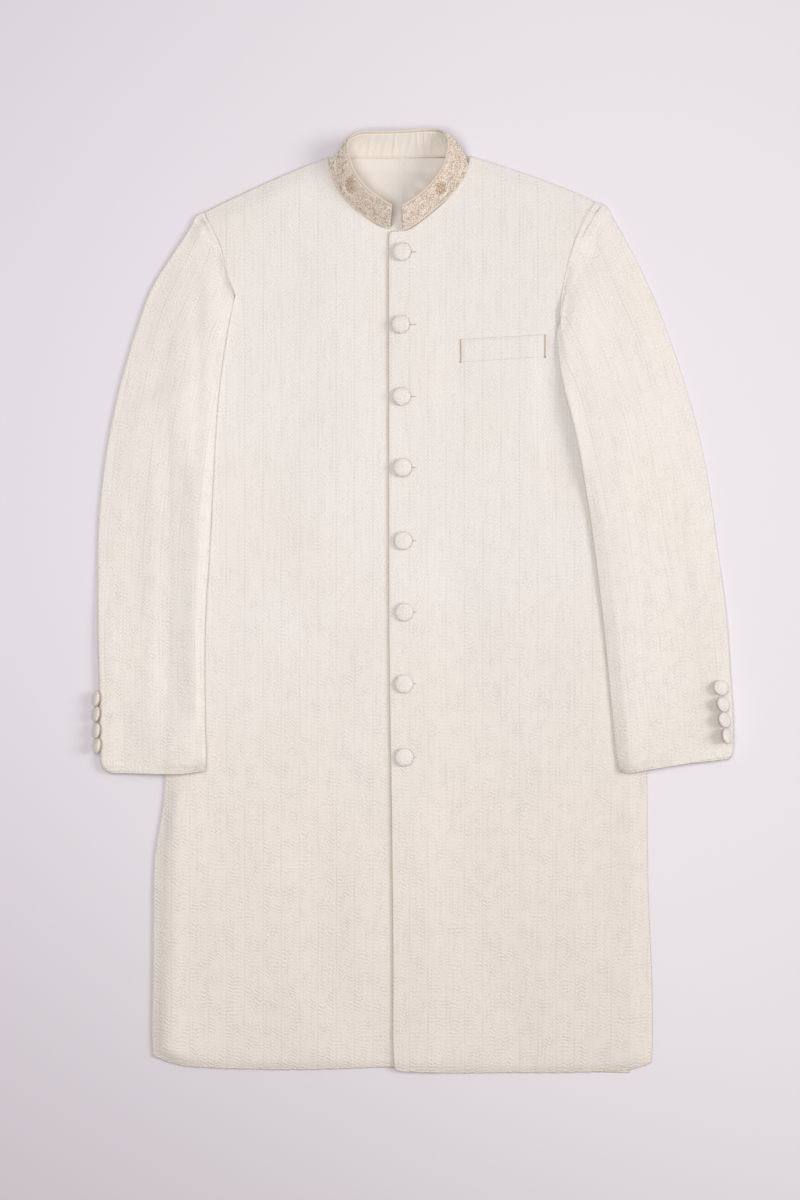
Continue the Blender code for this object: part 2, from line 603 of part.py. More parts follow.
def make_sleeve(side, colour):
    """The top sleeve wraps both folds; the under sleeve closes it below, open at the armhole."""
    wrap = SLEEVE_WRAP / SLEEVE_WIDTH
    clear = (SLEEVE_WRAP + SEAM_GAP + FACET_GAP) / SLEEVE_WIDTH
    top_around = [("bottom", wrap), ("bottom", wrap / 2)]
    top_around += [("inner", angle) for angle in FOLD_ANGLES]
    top_around += [("top", share) for share in TOP_SHARES[1:-1]]
    top_around += [("outer", angle) for angle in reversed(FOLD_ANGLES)]
    top_around += [("bottom", 1 - wrap / 2), ("bottom", 1 - wrap)]
    under_shares = sorted([clear, 0.26, 0.38, UNDER_PRONG, 0.62, 0.75, 1 - clear])
    under_around = [("bottom", share) for share in under_shares]

    def grid(around, inset):
        return np.array([sleeve_ring(side, share, around, inset) for share in SLEEVE_RINGS])

    add_wall("sleeve_" + side + "_top", grid(top_around, 0.0), grid(top_around, SLEEVE_WALL), colour)
    outer, inner = grid(under_around, 0.0), grid(under_around, SLEEVE_WALL)
    keep = np.ones((len(SLEEVE_RINGS) - 1, len(under_shares) - 1), bool)
    prong = under_shares.index(UNDER_PRONG)
    underarm = SIDE[side][-1, 1]
    above = outer[:-1, prong, 1] > underarm - PRONG_DROP
    keep[above, :prong] = False
    return add_wall("sleeve_" + side + "_under", outer, inner, colour, keep)


# ---- Collar ----

COLLAR_COLUMNS = 66
COLLAR_HEIGHTS = [0.0, 0.3, 0.65, 1.0]
FACING_DROP = 0.07
COLLAR_FOOT = 0.06
# Where the collar's seam goes from the fronts down to the back
SEAM_TURN_X = (78.0, 52.0)
SEAM_TURN_Y = (488.0, 503.0)
# How much further in the facing's outside and inside start, as shares of the collar's height
FACING_FOOT = (0.02, 0.05)


def seam_height(x, y):
    """Height of the collar's seam: on the fronts, and round the back on the back."""
    side = "left" if x > 0 else "right"
    on_back = float(smoothstep(*SEAM_TURN_Y, y)) * float(smoothstep(*SEAM_TURN_X, abs(x)))
    return float(front_top(side, x, y)) * (1 - on_back) + BACK_WALL * on_back + SEAM_GAP + FACET_GAP


def collar_surface(depth, low, high):
    """Grid over the collar, from the seam up, set this deep behind its outside."""
    line = rounded(COLLAR_STATIONS, 4)
    share = np.linspace(0.0, 1.0, COLLAR_COLUMNS + 1)
    station = along(line, share)
    seam = np.array([(x, y, seam_height(x, y)) for x, y in station[:, :2]])
    top = station[:, 2:5]
    rise = top - seam
    grid = []
    for height in [low] + COLLAR_HEIGHTS[1:-1] + [high]:
        level = seam + rise * height
        outward = np.cross(rise, np.gradient(level, axis=0))
        outward /= np.linalg.norm(outward, axis=1)[:, None]
        bulge = station[:, 5:] * math.sin(math.pi * height)
        grid.append(level + outward * (bulge - depth))
    return np.array(grid)


def make_collar(colour, facing_colour):
    add_wall("collar", collar_surface(0.0, 0.0, 1.0), collar_surface(COLLAR_WALL, COLLAR_FOOT, 1.0), colour)
    near = COLLAR_WALL + SEAM_GAP + FACET_GAP
    outer = collar_surface(near, COLLAR_FOOT + FACING_FOOT[0], 1 - FACING_DROP)
    inner = collar_surface(near + FACING_WALL, COLLAR_FOOT + FACING_FOOT[1], 1 - FACING_DROP)
    add_wall("collar_facing", outer, inner, facing_colour)


# ---- Buttons ----

# Outline of a covered button: share of the radius, share of the height
BUTTON_PROFILE = [(0.78, 0.0), (1.0, 0.34), (0.88, 0.72), (0.5, 0.95)]


def button_points(radius, height):
    """Rings of a domed button that lies flat, with its back at z = 0."""
    turn = np.linspace(0.0, 2 * math.pi, BUTTON_SIDES, endpoint=False)
    points = [(0.0, 0.0, 0.0)]
    for out, up in BUTTON_PROFILE:
        points += [(radius * out * math.cos(a), radius * out * math.sin(a), height * up) for a in turn]
    points.append((0.0, 0.0, height))
    return np.array(points)


def button_faces():
    last = 1 + BUTTON_SIDES * len(BUTTON_PROFILE)
    faces = []
    for i in range(BUTTON_SIDES):
        j = (i + 1) % BUTTON_SIDES
        faces.append([0, 1 + j, 1 + i])
        for ring in range(len(BUTTON_PROFILE) - 1):
            low, high = 1 + ring * BUTTON_SIDES, 1 + (ring + 1) * BUTTON_SIDES
            faces.append([low + i, low + j, high + j, high + i])
        faces.append([last - BUTTON_SIDES + i, last - BUTTON_SIDES + j, last])
    return faces


def tilt(points, lean, nod):
    """Leans points over towards +x and then nods them towards +y, in degrees."""
    a, b = math.radians(lean), math.radians(nod)
    x = points[:, 0] * math.cos(a) + points[:, 2] * math.sin(a)
    z = points[:, 2] * math.cos(a) - points[:, 0] * math.sin(a)
    return np.stack([x, points[:, 1] * math.cos(b) + z * math.sin(b),
                     z * math.cos(b) - points[:, 1] * math.sin(b)], axis=1)


def make_front_buttons(colour):
    for number, (x, y) in enumerate(FRONT_BUTTONS, 1):
        points = button_points(FRONT_BUTTON_RADIUS, FRONT_BUTTON_HEIGHT)
        points[:, 0] += x
        points[:, 1] += y
        seat = front_top("left", points[:, 0], points[:, 1])
        points[:, 2] += float(np.max(seat)) + SEAM_GAP
        add_object(f"front_button_{number}", points, button_faces(), colour)


def seated(points, ground):
    """Lowers a leaning button until its back touches the mesh below it."""
    rim = points[1:1 + BUTTON_SIDES]
    back = np.vstack([points[0] + (rim - points[0]) * share for share in (0.0, 0.3, 0.6, 0.8, 1.0)])
    drops = []
    for point in np.vstack([back, points]):
        hit = ground.ray_cast(Vector((point[0], point[1], DROP_FROM)), Vector((0.0, 0.0, -1.0)))[0]
        if hit is not None:
            drops.append(point[2] - hit.z)
    return points - np.array([0.0, 0.0, min(drops)])


def make_cuff_buttons(colour):
    for side in ("left", "right"):
        sleeve = bpy.data.objects["sleeve_" + side + "_top"].data
        ground = BVHTree.FromPolygons([vert.co / MM for vert in sleeve.vertices],
                                      [face.vertices[:] for face in sleeve.polygons])
        for number, (x, y, lean) in enumerate(CUFF_BUTTONS[side], 1):
            turned = (SIGN[side] * lean, CUFF_BUTTON_SHINGLE)
            points = tilt(button_points(CUFF_BUTTON_RADIUS, CUFF_BUTTON_HEIGHT), *turned)
            away = tilt(np.array([[0.0, 0.0, SEAM_GAP + FACET_GAP]]), *turned)
            points = seated(points + np.array([x, y, 0.0]), ground) + away
            add_object(f"cuff_button_{side}_{number}", points, button_faces(), colour)


# ---- Colours and the whole coat ----

IVORY = (0.80, 0.74, 0.68)
SATIN = (0.78, 0.70, 0.60)
FACING = (0.80, 0.73, 0.64)
GOLD = (0.55, 0.44, 0.31)


def main():
    clear_scene()
    make_back(IVORY)
    make_back_lining(SATIN)
    for side in ("right", "left"):
        make_front(side, IVORY)
    make_pocket_welt(IVORY)
    for side in ("left", "right"):
        make_sleeve(side, IVORY)
    make_collar(GOLD, FACING)
    make_front_buttons(IVORY)
    make_cuff_buttons(IVORY)


main()
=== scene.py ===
"""The looks of a sherwani coat that lies flat on its back: its cloth, embroidery, buttons and light.

Lengths are in millimetres until a mesh is made. x points to the wearer's left, y to the neck and
z up from the surface that the coat lies on.
"""

import math

import bmesh
import bpy
import numpy as np
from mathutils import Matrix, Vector


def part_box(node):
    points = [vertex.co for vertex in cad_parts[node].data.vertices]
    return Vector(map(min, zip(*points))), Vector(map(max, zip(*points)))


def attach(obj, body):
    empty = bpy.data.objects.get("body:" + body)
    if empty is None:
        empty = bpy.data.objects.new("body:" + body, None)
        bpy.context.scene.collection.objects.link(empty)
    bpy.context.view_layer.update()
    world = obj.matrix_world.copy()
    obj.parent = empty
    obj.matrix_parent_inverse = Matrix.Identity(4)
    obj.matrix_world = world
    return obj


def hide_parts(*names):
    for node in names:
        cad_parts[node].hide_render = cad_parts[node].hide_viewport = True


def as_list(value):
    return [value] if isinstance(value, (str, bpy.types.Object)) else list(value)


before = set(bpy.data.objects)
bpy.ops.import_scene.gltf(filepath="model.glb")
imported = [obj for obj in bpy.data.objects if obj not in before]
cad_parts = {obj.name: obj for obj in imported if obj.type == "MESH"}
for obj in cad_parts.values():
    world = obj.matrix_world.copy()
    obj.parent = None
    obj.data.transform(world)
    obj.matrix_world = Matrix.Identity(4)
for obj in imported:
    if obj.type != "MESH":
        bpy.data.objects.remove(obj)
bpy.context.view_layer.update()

MM = 0.001
SIDES = ("left", "right")
SIGN = {"left": 1.0, "right": -1.0}
UP = (0.0, 0.0, 1.0)
FAR = 1e6

# ---- Sizes that the cloth shares with the solids ----

SEAM_GAP = 0.3
FACET_GAP = 0.22
# Thickness of each cloth
BACK_WALL = 1.8
FRONT_WALL = 2.6
LINING_WALL = 1.0
SLEEVE_WALL = 2.2
CUFF_WALL = 3.0
COLLAR_WALL = 1.8
FACING_WALL = 1.0
WELT_WALL = 1.5

# How the fronts rise from their edges over the back and over the shoulders, then x between which the
# left one climbs over the right one's edge and the right one sinks under it, and by how much
FRONT_LOFT = 2.5
EDGE_ROLL = 22.0
ROLL_POWER = 2.2
SHOULDER_EXTRA = 2.6
SHOULDER_SPREAD = 62.0
SHOULDER_CENTRE = (150.0, 442.0)
LAP_FULL = 28.0
LAP_END = 62.0
LAP_SINK = 1.15
LAP_GAP = 0.4
SINK_FULL = -14.0
SINK_END = -62.0
# Shares of a fold's length over which it fades, beyond its ends and inside them
FOLD_FADE_OUT = 0.12
FOLD_FADE_IN = 0.15

# Sleeves: radii of their folds, how they lie on the body and fall beyond its side, how the under sleeve
# meets the back, and the shares of their length where the cuff and the head begin
LEAST_INSIDE = 0.25
SLEEVE_FOLD_RADIUS = 3.7
CUFF_FOLD_RADIUS = 4.5
HEAD_FOLD_RADIUS = 2.4
SLEEVE_SWELL = 0.9
SLEEVE_LIFT = 1.1
SLEEVE_DROP = 26.0
SLEEVE_WRAP = 16.0
ARMHOLE_CLEAR = 0.6
UNDERARM_START = 4.0
UNDERARM_RISE = 40.0
HEAD_CLEAR = 0.1
BACK_HEAD_STEPS = 7
UNDER_PRONG = 0.50
PRONG_DROP = 6.0
SLEEVE_WIDTH = 120.0
CUFF_BEND = 0.09
CUFF_SWELL = (0.05, 0.2)
HEAD_BEND = 0.8
HEAD_THIN = 0.9
HEAD_SEAM = 0.93
SEAM_STEP = 0.4

# Cut edges of the two fronts, one row a point: x, y
CENTRE_EDGE = {
    "left": [(-5.5, -539), (-7.3, -533), (-8.4, -402), (-10.4, -238), (-13, -46),
             (-13.2, 180), (-13.2, 412), (-12.8, 420)],
    "right": [(21, -537), (20, 0), (20, 434)],
}
HEM_EDGE = {
    "left": [(-5.5, -539), (-1.2, -540.7), (19.6, -541.6), (62, -543.3), (126, -542.7),
             (190, -542.7), (230, -541.6), (264, -539.5), (275, -536.3), (288.4, -531.5)],
    "right": [(21, -537), (-9.4, -536.1), (-53, -537.7), (-114, -539.3), (-176, -538.7),
              (-217, -537.2), (-248, -534.9), (-268, -529.6), (-283.2, -523.5)],
}
SIDE_EDGE = {
    "left": [(288.4, -531.5), (289.5, -515), (289.1, -442), (284.6, -330), (283.2, -196),
             (280, -100), (274, 50), (266.8, 216)],
    "right": [(-283.2, -523.5), (-284.3, -512), (-283.5, -401), (-281.8, -299), (-276.6, -263),
              (-271.2, -230), (-269, -195), (-266, -100), (-263.5, 50), (-264.5, 216)],
}
LOW_ARMHOLE = {
    "left": [(266.8, 216), (258, 222), (248, 230), (236, 238.5), (224, 250),
             (212, 268), (199, 290), (188, 306), (180.4, 316.3)],
    "right": [(-264.5, 216), (-258, 222), (-250, 230), (-240, 240), (-228, 253),
              (-216, 275), (-205, 305), (-196, 332), (-189.2, 349.6)],
}
FRONT_ARMHOLE = {
    "left": [(180.4, 316.3), (183.1, 329.5), (185.5, 353.1), (190.6, 380), (197.2, 403.7),
             (204.5, 424.5), (215.5, 447), (223, 457.5)],
    "right": [(-189.2, 349.6), (-193.7, 363.4), (-198.6, 379.5), (-202, 394.9), (-207.4, 412),
              (-215.6, 428), (-223.5, 445.5)],
}
SHOULDER_EDGE = {
    "left": [(79.7, 510), (118, 498), (151.8, 486.5), (188.6, 472.7), (215, 461.6),
             (223, 457.5)],
    "right": [(-82.5, 508.5), (-118, 494.5), (-152.1, 479.6), (-199.4, 457.7), (-223.5, 445.5)],
}
NECK_EDGE = {
    "left": [(-12.8, 420), (-11, 422.6), (5, 423.2), (10.5, 424.6), (21.4, 432),
             (34.5, 442), (49.9, 455.2), (64.3, 470.6), (73, 483.8), (77.8, 496), (79.7, 510)],
    "right": [(20, 434), (-4, 434), (-12, 428), (-20, 427.5), (-39.2, 438.6),
              (-54.6, 449.7), (-65.6, 461.7), (-74.4, 475), (-79.9, 490.4), (-82.5, 508.5)],
}
BACK_HEM = [(-282, -520.5), (-267, -527.5), (-247, -533), (-176, -537), (-53, -536.5),
            (62, -540.5), (190, -541.6), (230, -542.8), (264, -543.6)]
LEFT_VENT = [(264, -543.6), (266.5, -480), (273, -400), (283.6, -315)]
BACK_NECK = [(-82.5, 508.5), (-57, 509.5), (0, 509), (51, 511), (79.7, 510)]

# Folded edges of the sleeves, one row a point from the cuff up: y, x
SLEEVE_INNER = {
    "left": [(-195.2, 250.1), (-175, 247.5), (-151, 245), (-104, 240.2), (-15, 231.2),
             (80, 219.2), (181, 202.4), (259, 184), (302, 179.7), (316.3, 180.4)],
    "right": [(-195.5, -221.8), (-175, -221.6), (-151, -222.5), (-31, -223.1), (46, -218.5),
              (114, -215), (230, -208), (299, -199), (349.6, -189.2)],
}
SLEEVE_OUTER = {
    "left": [(-182.8, 377.5), (-177.5, 381.2), (-149, 382.6), (-84, 379.3), (-15, 374.4),
             (53, 365.7), (103.5, 359.1), (154, 350.8), (215, 337), (289, 313.6),
             (343, 293.3), (393.5, 269.8), (436, 246.1), (453, 236), (457.5, 223.5)],
    "right": [(-198.8, -333), (-193, -341), (-180.6, -344.5), (-103.5, -345.7), (-35, -347.6),
              (46, -347.8), (96.6, -346.2), (171.4, -337.6), (238.4, -324.3), (299, -307.3),
              (356.5, -287), (390, -266.8), (430, -240), (439.5, -235.5), (444.2, -230.5),
              (445.5, -224)],
}
# Cuff edges from the inner fold to the outer one: x, y
CUFF_EDGE = {
    "left": [(250.1, -195.2), (259.9, -198.4), (270.3, -196.7), (300.6, -192), (330, -187.5),
             (353.4, -185.2), (377.5, -182.8)],
    "right": [(-221.8, -195.5), (-246, -198.8), (-267, -199.4), (-300, -199.2), (-333, -198.8)],
}
COARSE_RINGS = [0.0, 0.01, 0.026, 0.05, 0.09, 0.14, 0.19, 0.24, 0.295, 0.35, 0.405, 0.46, 0.515, 0.57,
                0.62, 0.67, 0.72, 0.765, 0.81, 0.85, 0.89, 0.925, 0.955, 0.978, 0.993, 1.0]

# Stand collar from the right front end round the back: x, y of the seam, x, y, z of the top edge, bulge
COLLAR_STATIONS = [
    (-11, 427, -9.4, 447.6, 33, 1.2),
    (-20, 429.5, -16.5, 451.5, 33, 1.2),
    (-39.2, 440, -34.6, 464.6, 34, 1.2),
    (-54.6, 451.2, -45.3, 476, 35, 1.2),
    (-65.6, 463.2, -52.7, 487.8, 36, 1.2),
    (-73.8, 476.2, -56.8, 497.6, 37, 1.2),
    (-79, 489, -59.5, 507.6, 37.5, 1.2),
    (-79.8, 497.5, -60.6, 516, 37, 1.2),
    (-76.6, 503.6, -58.6, 523.4, 34.8, 1.5),
    (-69.6, 506.6, -53.6, 528.4, 32, 1.8),
    (-58, 507.6, -45.2, 532.2, 29, 1.8),
    (-32, 507.4, -22.8, 534, 25.5, 1.5),
    (-8, 507.2, 0, 534.6, 24.5, 1.2),
    (23, 507.8, 22.8, 535.8, 25.5, 1.5),
    (51, 508.6, 41, 535.6, 28.5, 2.5),
    (67, 508, 49, 531.8, 33, 3.8),
    (74.6, 504.2, 53.8, 524.6, 35.8, 4.4),
    (77, 497.6, 55.2, 516.4, 37.2, 4),
    (76, 489.8, 54.2, 507.8, 37.5, 2.8),
    (71.8, 481, 51.5, 497.7, 37, 1.6),
    (63.4, 470, 45.9, 486, 36, 1.2),
    (49.2, 456.8, 37.4, 474.3, 35, 1.2),
    (33.8, 443.6, 27.2, 463.8, 34.5, 1.2),
    (20.8, 433.6, 15.3, 454.6, 34, 1.2),
    (11, 427.6, 7.6, 449.6, 34, 1.2),
    (3, 424.8, 2, 446.4, 34, 1.2),
]
SEAM_TURN_X = (78.0, 52.0)
SEAM_TURN_Y = (488.0, 503.0)
COLLAR_FOOT = 0.06
FACING_FOOT = (0.02, 0.05)
FACING_DROP = 0.07

WELT_CORNERS = [(69.4, 272.8), (166.6, 278.8), (166.6, 304.4), (69.2, 299.0)]
FRONT_BUTTONS = [(1.8, 399.0), (0.4, 315.7), (1.6, 233.2), (2.6, 151.8), (3.4, 67.9), (4.6, -13.8),
                 (4.2, -96.0), (4.8, -180.0)]

# ---- Folds, troughs and ridges, one a row: x and y of both ends, half width, height ----

FRONT_FOLDS = [
    (150, 305, 158, 140, 10, 0.9),
    (249, -200, 236, -240, 6, 0.7),
    (262, -205, 258, -260, 7, 0.6),
    (-255, -215, -262, -480, 8, 0.5),
]
SLEEVE_FOLDS = [
    (-232, 372, -230, 110, 8, -1.3),
    (-230, 110, -234, -110, 8, -0.9),
    (-227, 390, -199, 364, 5, -1.1),
    (232, 421, 199, 363, 6, -1.4),
    (199, 363, 191, 345, 5, -1),
    (206, 335, 232, 150, 9, 0.7),
    (243, -104, 262, -98, 5, -0.7),
]

# ---- Sizes of the finer form ----

# Waves of the settled cloth: wavelength, heading in degrees, shift, height; then how far they drift from
# side to side, over how many wavelengths, and how far in from an edge they fade
CLOTH_WAVES = [(83.0, 17.0, 0.4, 0.30), (57.0, 101.0, 2.1, 0.15), (41.0, 63.0, 4.0, 0.10),
               (127.0, -28.0, 1.3, 0.50), (171.0, 8.0, 2.6, 0.65)]
WAVE_DRIFT = 0.8
WAVE_DRIFT_SPAN = 2.7
WAVE_FADE = 16.0
# How the cut edges of the fronts' hems stray: pitch, shift, height
EDGE_WAVES = [(17.3, 0.3, 0.38), (9.1, 1.9, 0.26), (5.3, 4.2, 0.18)]
RUFFLE_REACH = 7.0

# Rows and columns close to a cut edge, how clear of them the next ones stay, and the edge's half round
RIM_STEPS = [0.0, 0.12, 0.4, 0.85, 1.4, 2.4]
RIM_CLEAR = 1.4
LEAST_STEP = 1e-6
EDGE_RADIUS = 1.3
SEAM_RADIUS = 0.45
LEAST_ROUND = 0.08
# How far from an edge its tan painted shade is told on the mesh, and the shares of that over which it fades
EDGE_REACH = 10.0
EDGE_TINT_SPAN = (0.05, 0.15)
# How flat the back's underside stays at its edges
UNDERSIDE_PRESS = 0.5

# The top layer of a sleeve spans the body's side: how far out it falls, and how much sooner than the bed
SPAN_DROP = 66.0
SPAN_EARLY = 8.0
# Shares of the width at which a sleeve's spanning, creases and head seam are in full
SPAN_ENDS = (0.2, 0.72)
CREASE_ENDS = (0.06, 0.88)
HEAD_SEAM_ENDS = (0.3, 0.85)
# Folds pressed flat: share of the thickness left at the inner fold and how far in, its height off the
# cloth below, then the same at the outer fold, and where up the sleeve that starts
PRESS_SHARE = {"left": 0.42, "right": 0.95}
PRESS_REACH = {"left": 17.0, "right": 20.0}
PRESS_SEAT = 0.2
OUTER_PRESS_SHARE = 0.5
OUTER_PRESS_REACH = 34.0
OUTER_PRESS_START = (0.22, 0.4)
# The inner edge of each sleeve stands off the body: middle and spread along y, height, reach
EDGE_LIFTS = {"left": (192.0, 78.0, 7.6, 18.0), "right": (10.0, 140.0, 1.6, 32.0)}
# Both layers of a sleeve sink where they cross the body's side: depth, place inside that side, widths
# outwards and inwards of the place, least bed height for the full depth, and y of the fading ends
SIDE_DIP = {"left": 0.0, "right": 2.2}
SIDE_DIP_PLACE = 10.0
SIDE_DIP_WIDTHS = (30.0, 16.0)
SIDE_DIP_BED = 5.0
SIDE_DIP_ENDS = (-170.0, -110.0, 130.0, 200.0)

# Creases in the scene's cloth only: x and y of both ends, half width, height
FRONT_CREASES = [
    (232, 120, 238, 330, 6, 0.5), (-236, 60, -226, 240, 7, 0.5),
    (-170, 300, -140, 120, 14, 0.45), (196, 330, 178, 250, 6, 0.4),
    (-196, 352, -176, 300, 6, 0.4), (96, 150, 120, -60, 16, 0.4),
    (-90, 40, -110, -180, 18, 0.4), (238, -205, 222, -262, 6, 0.4),
    (-236, -205, -226, -280, 7, 0.5), (-205, -210, -198, -300, 8, 0.35),
    (150, -250, 158, -480, 20, 0.4), (60, -300, 52, -500, 16, 0.35),
    (-120, -300, -126, -500, 18, 0.4), (-40, -280, -46, -470, 15, 0.3),
    (-60, 380, -110, 300, 12, 0.35), (62, 392, 100, 330, 12, 0.3),
    (250, -330, 262, -500, 12, 0.45),
    (160, 300, 163, 235, 10, -2.6), (161, 245, 186, 130, 13, -3.8),
    (158, 290, 160, 215, 9, 0.9), (-212, 240, -221, 60, 10, -0.7),
    (-208, 30, -214, -150, 12, 0.5), (-230, -215, -242, -560, 34, 2.4),
    (-255, -222, -267, -560, 17, 2.4),
    (262, -250, 268, -480, 10, 0.7), (100, 160, 150, 150, 9, -0.6),
    (-150, 420, -132, 250, 22, 0.6), (110, 440, 128, 330, 20, 0.5),
]
SLEEVE_CREASES = [
    (-252, 330, -262, 180, 9, 0.5), (-286, 120, -262, 60, 10, 0.45),
    (-300, 40, -262, 4, 10, 0.4), (-312, -60, -280, -84, 9, 0.35),
    (258, 322, 282, 180, 10, 0.5), (300, 120, 268, 62, 10, 0.45),
    (330, 40, 290, 0, 10, 0.4), (346, -50, 318, -92, 9, 0.35),
    (270, -20, 276, -140, 10, 0.4), (-220, 172, -226, -140, 24, 3.2),
    (-231, 150, -234, -120, 8, 1),
]
LINING_CREASES = [
    (20, 486, 46, 462, 6, 1.1), (12, 470, 36, 452, 5, 0.9),
    (-30, 492, -34, 456, 7, 0.6), (-52, 484, -44, 462, 4, 0.7),
    (56, 492, 58, 474, 4, 0.9),
]
# Upright wrinkles inside the collar: share of its length, lean, half width as a share, height; then how
# much all of them rise, and how soon they fade towards both edges
FACING_CREASE_LIFT = 3.8
WRINKLE_POWER = 0.7
FACING_WRINKLES = [
    (0.365, 0.012, 0.0035, 0.35), (0.392, -0.01, 0.0050, 0.30), (0.418, 0.008, 0.0030, 0.25),
    (0.441, 0.004, 0.0060, 0.30), (0.470, -0.012, 0.0040, 0.35), (0.495, 0.006, 0.0030, 0.22),
    (0.521, 0.014, 0.0050, 0.32), (0.549, -0.008, 0.0040, 0.30), (0.573, 0.010, 0.0035, 0.36),
    (0.597, 0.016, 0.0050, 0.34), (0.624, -0.014, 0.0040, 0.30), (0.652, 0.010, 0.0060, 0.35),
    (0.300, 0.010, 0.0060, 0.25), (0.220, -0.010, 0.0080, 0.25), (0.760, 0.010, 0.0080, 0.25),
]

# Pocket bag behind the left front: low x, low y, high x, high y
BAG_BOX = (70.0, 172.0, 166.0, 284.0)
BAG_RISE = 0.4
BAG_SOFTNESS = 7.0
# Length of the neck edge, from the centre, that the collar leaves bare, and the points that follow it
BARE_NECK = 13.0
BARE_NECK_POINTS = 8
# How much thinner a front is pressed at its edge, and how far in
SIDE_PRESS = (1.9, 30.0)
HEM_PRESS = (1.6, 9.0)
# How much faster the painted edge shade fades at hems and cuffs than at the front's edge
HEM_PALER = 1.6
# The lap's edge is drawn in beside each button
LAP_EDGE_X = -13.0
PUCKER_DEPTH = 0.35
PUCKER_REACH = 8.0
PUCKER_LENGTH = 14.0

# The welt: its rise off the front, its thin edge and its puff, then its stitches
WELT_CLEAR = 0.08
# How fast the painted edge shade fades from the welt's foot, outer end, top and inner end
WELT_TINTS = (4.0, 0.6, 2.4, 1.2)
WELT_PUFF = 0.3
WELT_THIN = 0.6
WELT_PUFF_REACH = 5.0
WELT_END_STITCHES = 26
WELT_STITCH_SPAN = (0.02, 0.98)
WELT_STITCH_IN = 1.0
WELT_STITCH_OUT = 0.5
WELT_STITCH_SIZE = (0.5, 0.45)
WELT_STITCH_RISE = 0.55
WELT_KNOT_STITCHES = 5
WELT_KNOT_RADIUS = 1.1

# The collar's binding lies this deep behind its outside, at this share of its height
BINDING_SET = 0.9
BINDING_HEIGHT = 1.0
COLLAR_SLANT = 34.0

# Section of a stitch: share of its length, share of its width; and its rise as a share of its height
STITCH_SECTIONS = [(0.14, 0.7), (0.5, 1.0), (0.86, 0.7)]
STITCH_RISE = 0.35
STITCH_SIDES = 5
WORKED_STITCH_SIDES = 6
# Angles of a bead's rings from its middle, in radians, its sides, and how far its middle is off the cloth
# as a share of its radius
BEAD_TILTS = [-0.9, -0.1, 0.75]
BEAD_SIDES = 7
BEAD_SEAT = 0.75

# Embroidery, in millimetres along the collar and up from its seam
MOTIF_START = 62.0
MOTIF_COUNT = 5
MOTIF_HEIGHT = 0.55
SMALL_HEIGHT = 0.5
FLOWER_SIZE = 8.6
FLOWER_PETALS = 11
FLOWER_TURN = 0.3
# Petal rings from the outer one in: share of the size at the tip and at the root, thread, lift
FLOWER_RINGS = [(0.95, 0.6, "gold", 0.25), (0.6, 0.3, "gold", 0.53)]
PETALS_FEWER = 3
# Stitches of a petal, side by side: how they fan out at tip and root, how much the outer ones are shorter
PETAL_FAN = (-1.0, 0.0, 1.0)
TIP_FAN = 2.4
ROOT_FAN = 0.9
FAN_SHORTER = 0.14
PETAL_STITCH = (0.62, 0.7)
# Rings of beads over the petals: share of the size, count, threads in turn
FLOWER_BEADS = [(1.0, 22, ("pearl", "bronze")), (0.78, 17, ("gold", "pearl", "silver")),
                (0.54, 12, ("bronze", "pearl", "gold")), (0.3, 7, ("gold", "pearl"))]
FLOWER_BEAD_RADII = (0.55, 0.65, 0.75)
FLOWER_EYE = 0.95
SMALL_PETALS = 6
SMALL_SIZE = 3.4
SMALL_TURN = 0.5
SMALL_FAN = (-0.16, 0.16)
SMALL_ROOT = 0.3
SMALL_STITCH = (0.7, 0.7, 0.3)
SMALL_BEAD = 0.4
SMALL_BEAD_PLACE = 0.72
SMALL_EYE = 0.8
# Room that the ground leaves round a flower and a small flower, as a share of their size
FLOWER_ROOM = 1.05
SMALL_ROOM = 1.1
# Satin arcs: pitch, fewest stitches, share of the width at their ends, slant, and a stitch's size and lift
SATIN_PITCH = 0.52
SATIN_LEAST = 5
SATIN_TAPER = 0.25
SATIN_SLANT = 0.12
SATIN_STITCH = (0.6, 0.75, 0.35)
# Cream arcs round each flower and round each small flower: rise of their middle, radius, start, sweep,
# width, with start and sweep as shares of a half turn
SCROLLS = [(0.0, 10.6, 1.15, 0.62, 1.6), (0.4, 12.8, 1.22, 0.46, 1.2)]
SMALL_SCROLLS = [(-1.0, 5.8, 1.08, 0.84, 1.4), (-1.4, 8.2, 1.16, 0.68, 1.5), (1.2, 5.6, 0.16, 0.66, 1.1)]
# Rows of beads: height (from the top edge if below zero), pitch, radius, thread
BEAD_ROWS = [(0.8, 1.8, 0.62, "pearl"), (-1.1, 2.0, 0.5, "gold"), (-3.9, 1.9, 0.6, "pearl")]
GROUND_SEED = 11
GROUND_PITCH = 1.55
GROUND_STRAY = 0.4
# Half length of the ground's stitches, how much it varies, their width and height, and how they turn
GROUND_STITCH = 0.85
GROUND_STITCH_SPREAD = 0.5
GROUND_STITCH_SIZE = (0.6, 0.6)
GROUND_SWAY = 2.0
GROUND_SWAY_LENGTH = 8.5
GROUND_LOW = 1.8
GROUND_TOP = 1.9
# Radius of a bead and how much it varies, then shares of the places: bead or stitch, and left bare
GROUND_BEAD_RADIUS = 0.62
GROUND_BEAD_SPREAD = 0.3
GROUND_BEAD = 0.78
GROUND_GAPS = 0.1
GROUND_BEADS = ("pearl", "cream", "pearl", "pearl", "gold", "pearl", "cream", "silver")
GROUND_THREADS = ("gold", "cream", "bronze", "cream")

FRONT_BUTTON_RADIUS = 10.6
FRONT_BUTTON_HEIGHT = 6.2
CUFF_BUTTON_RADIUS = 9.0
CUFF_BUTTON_HEIGHT = 6.2
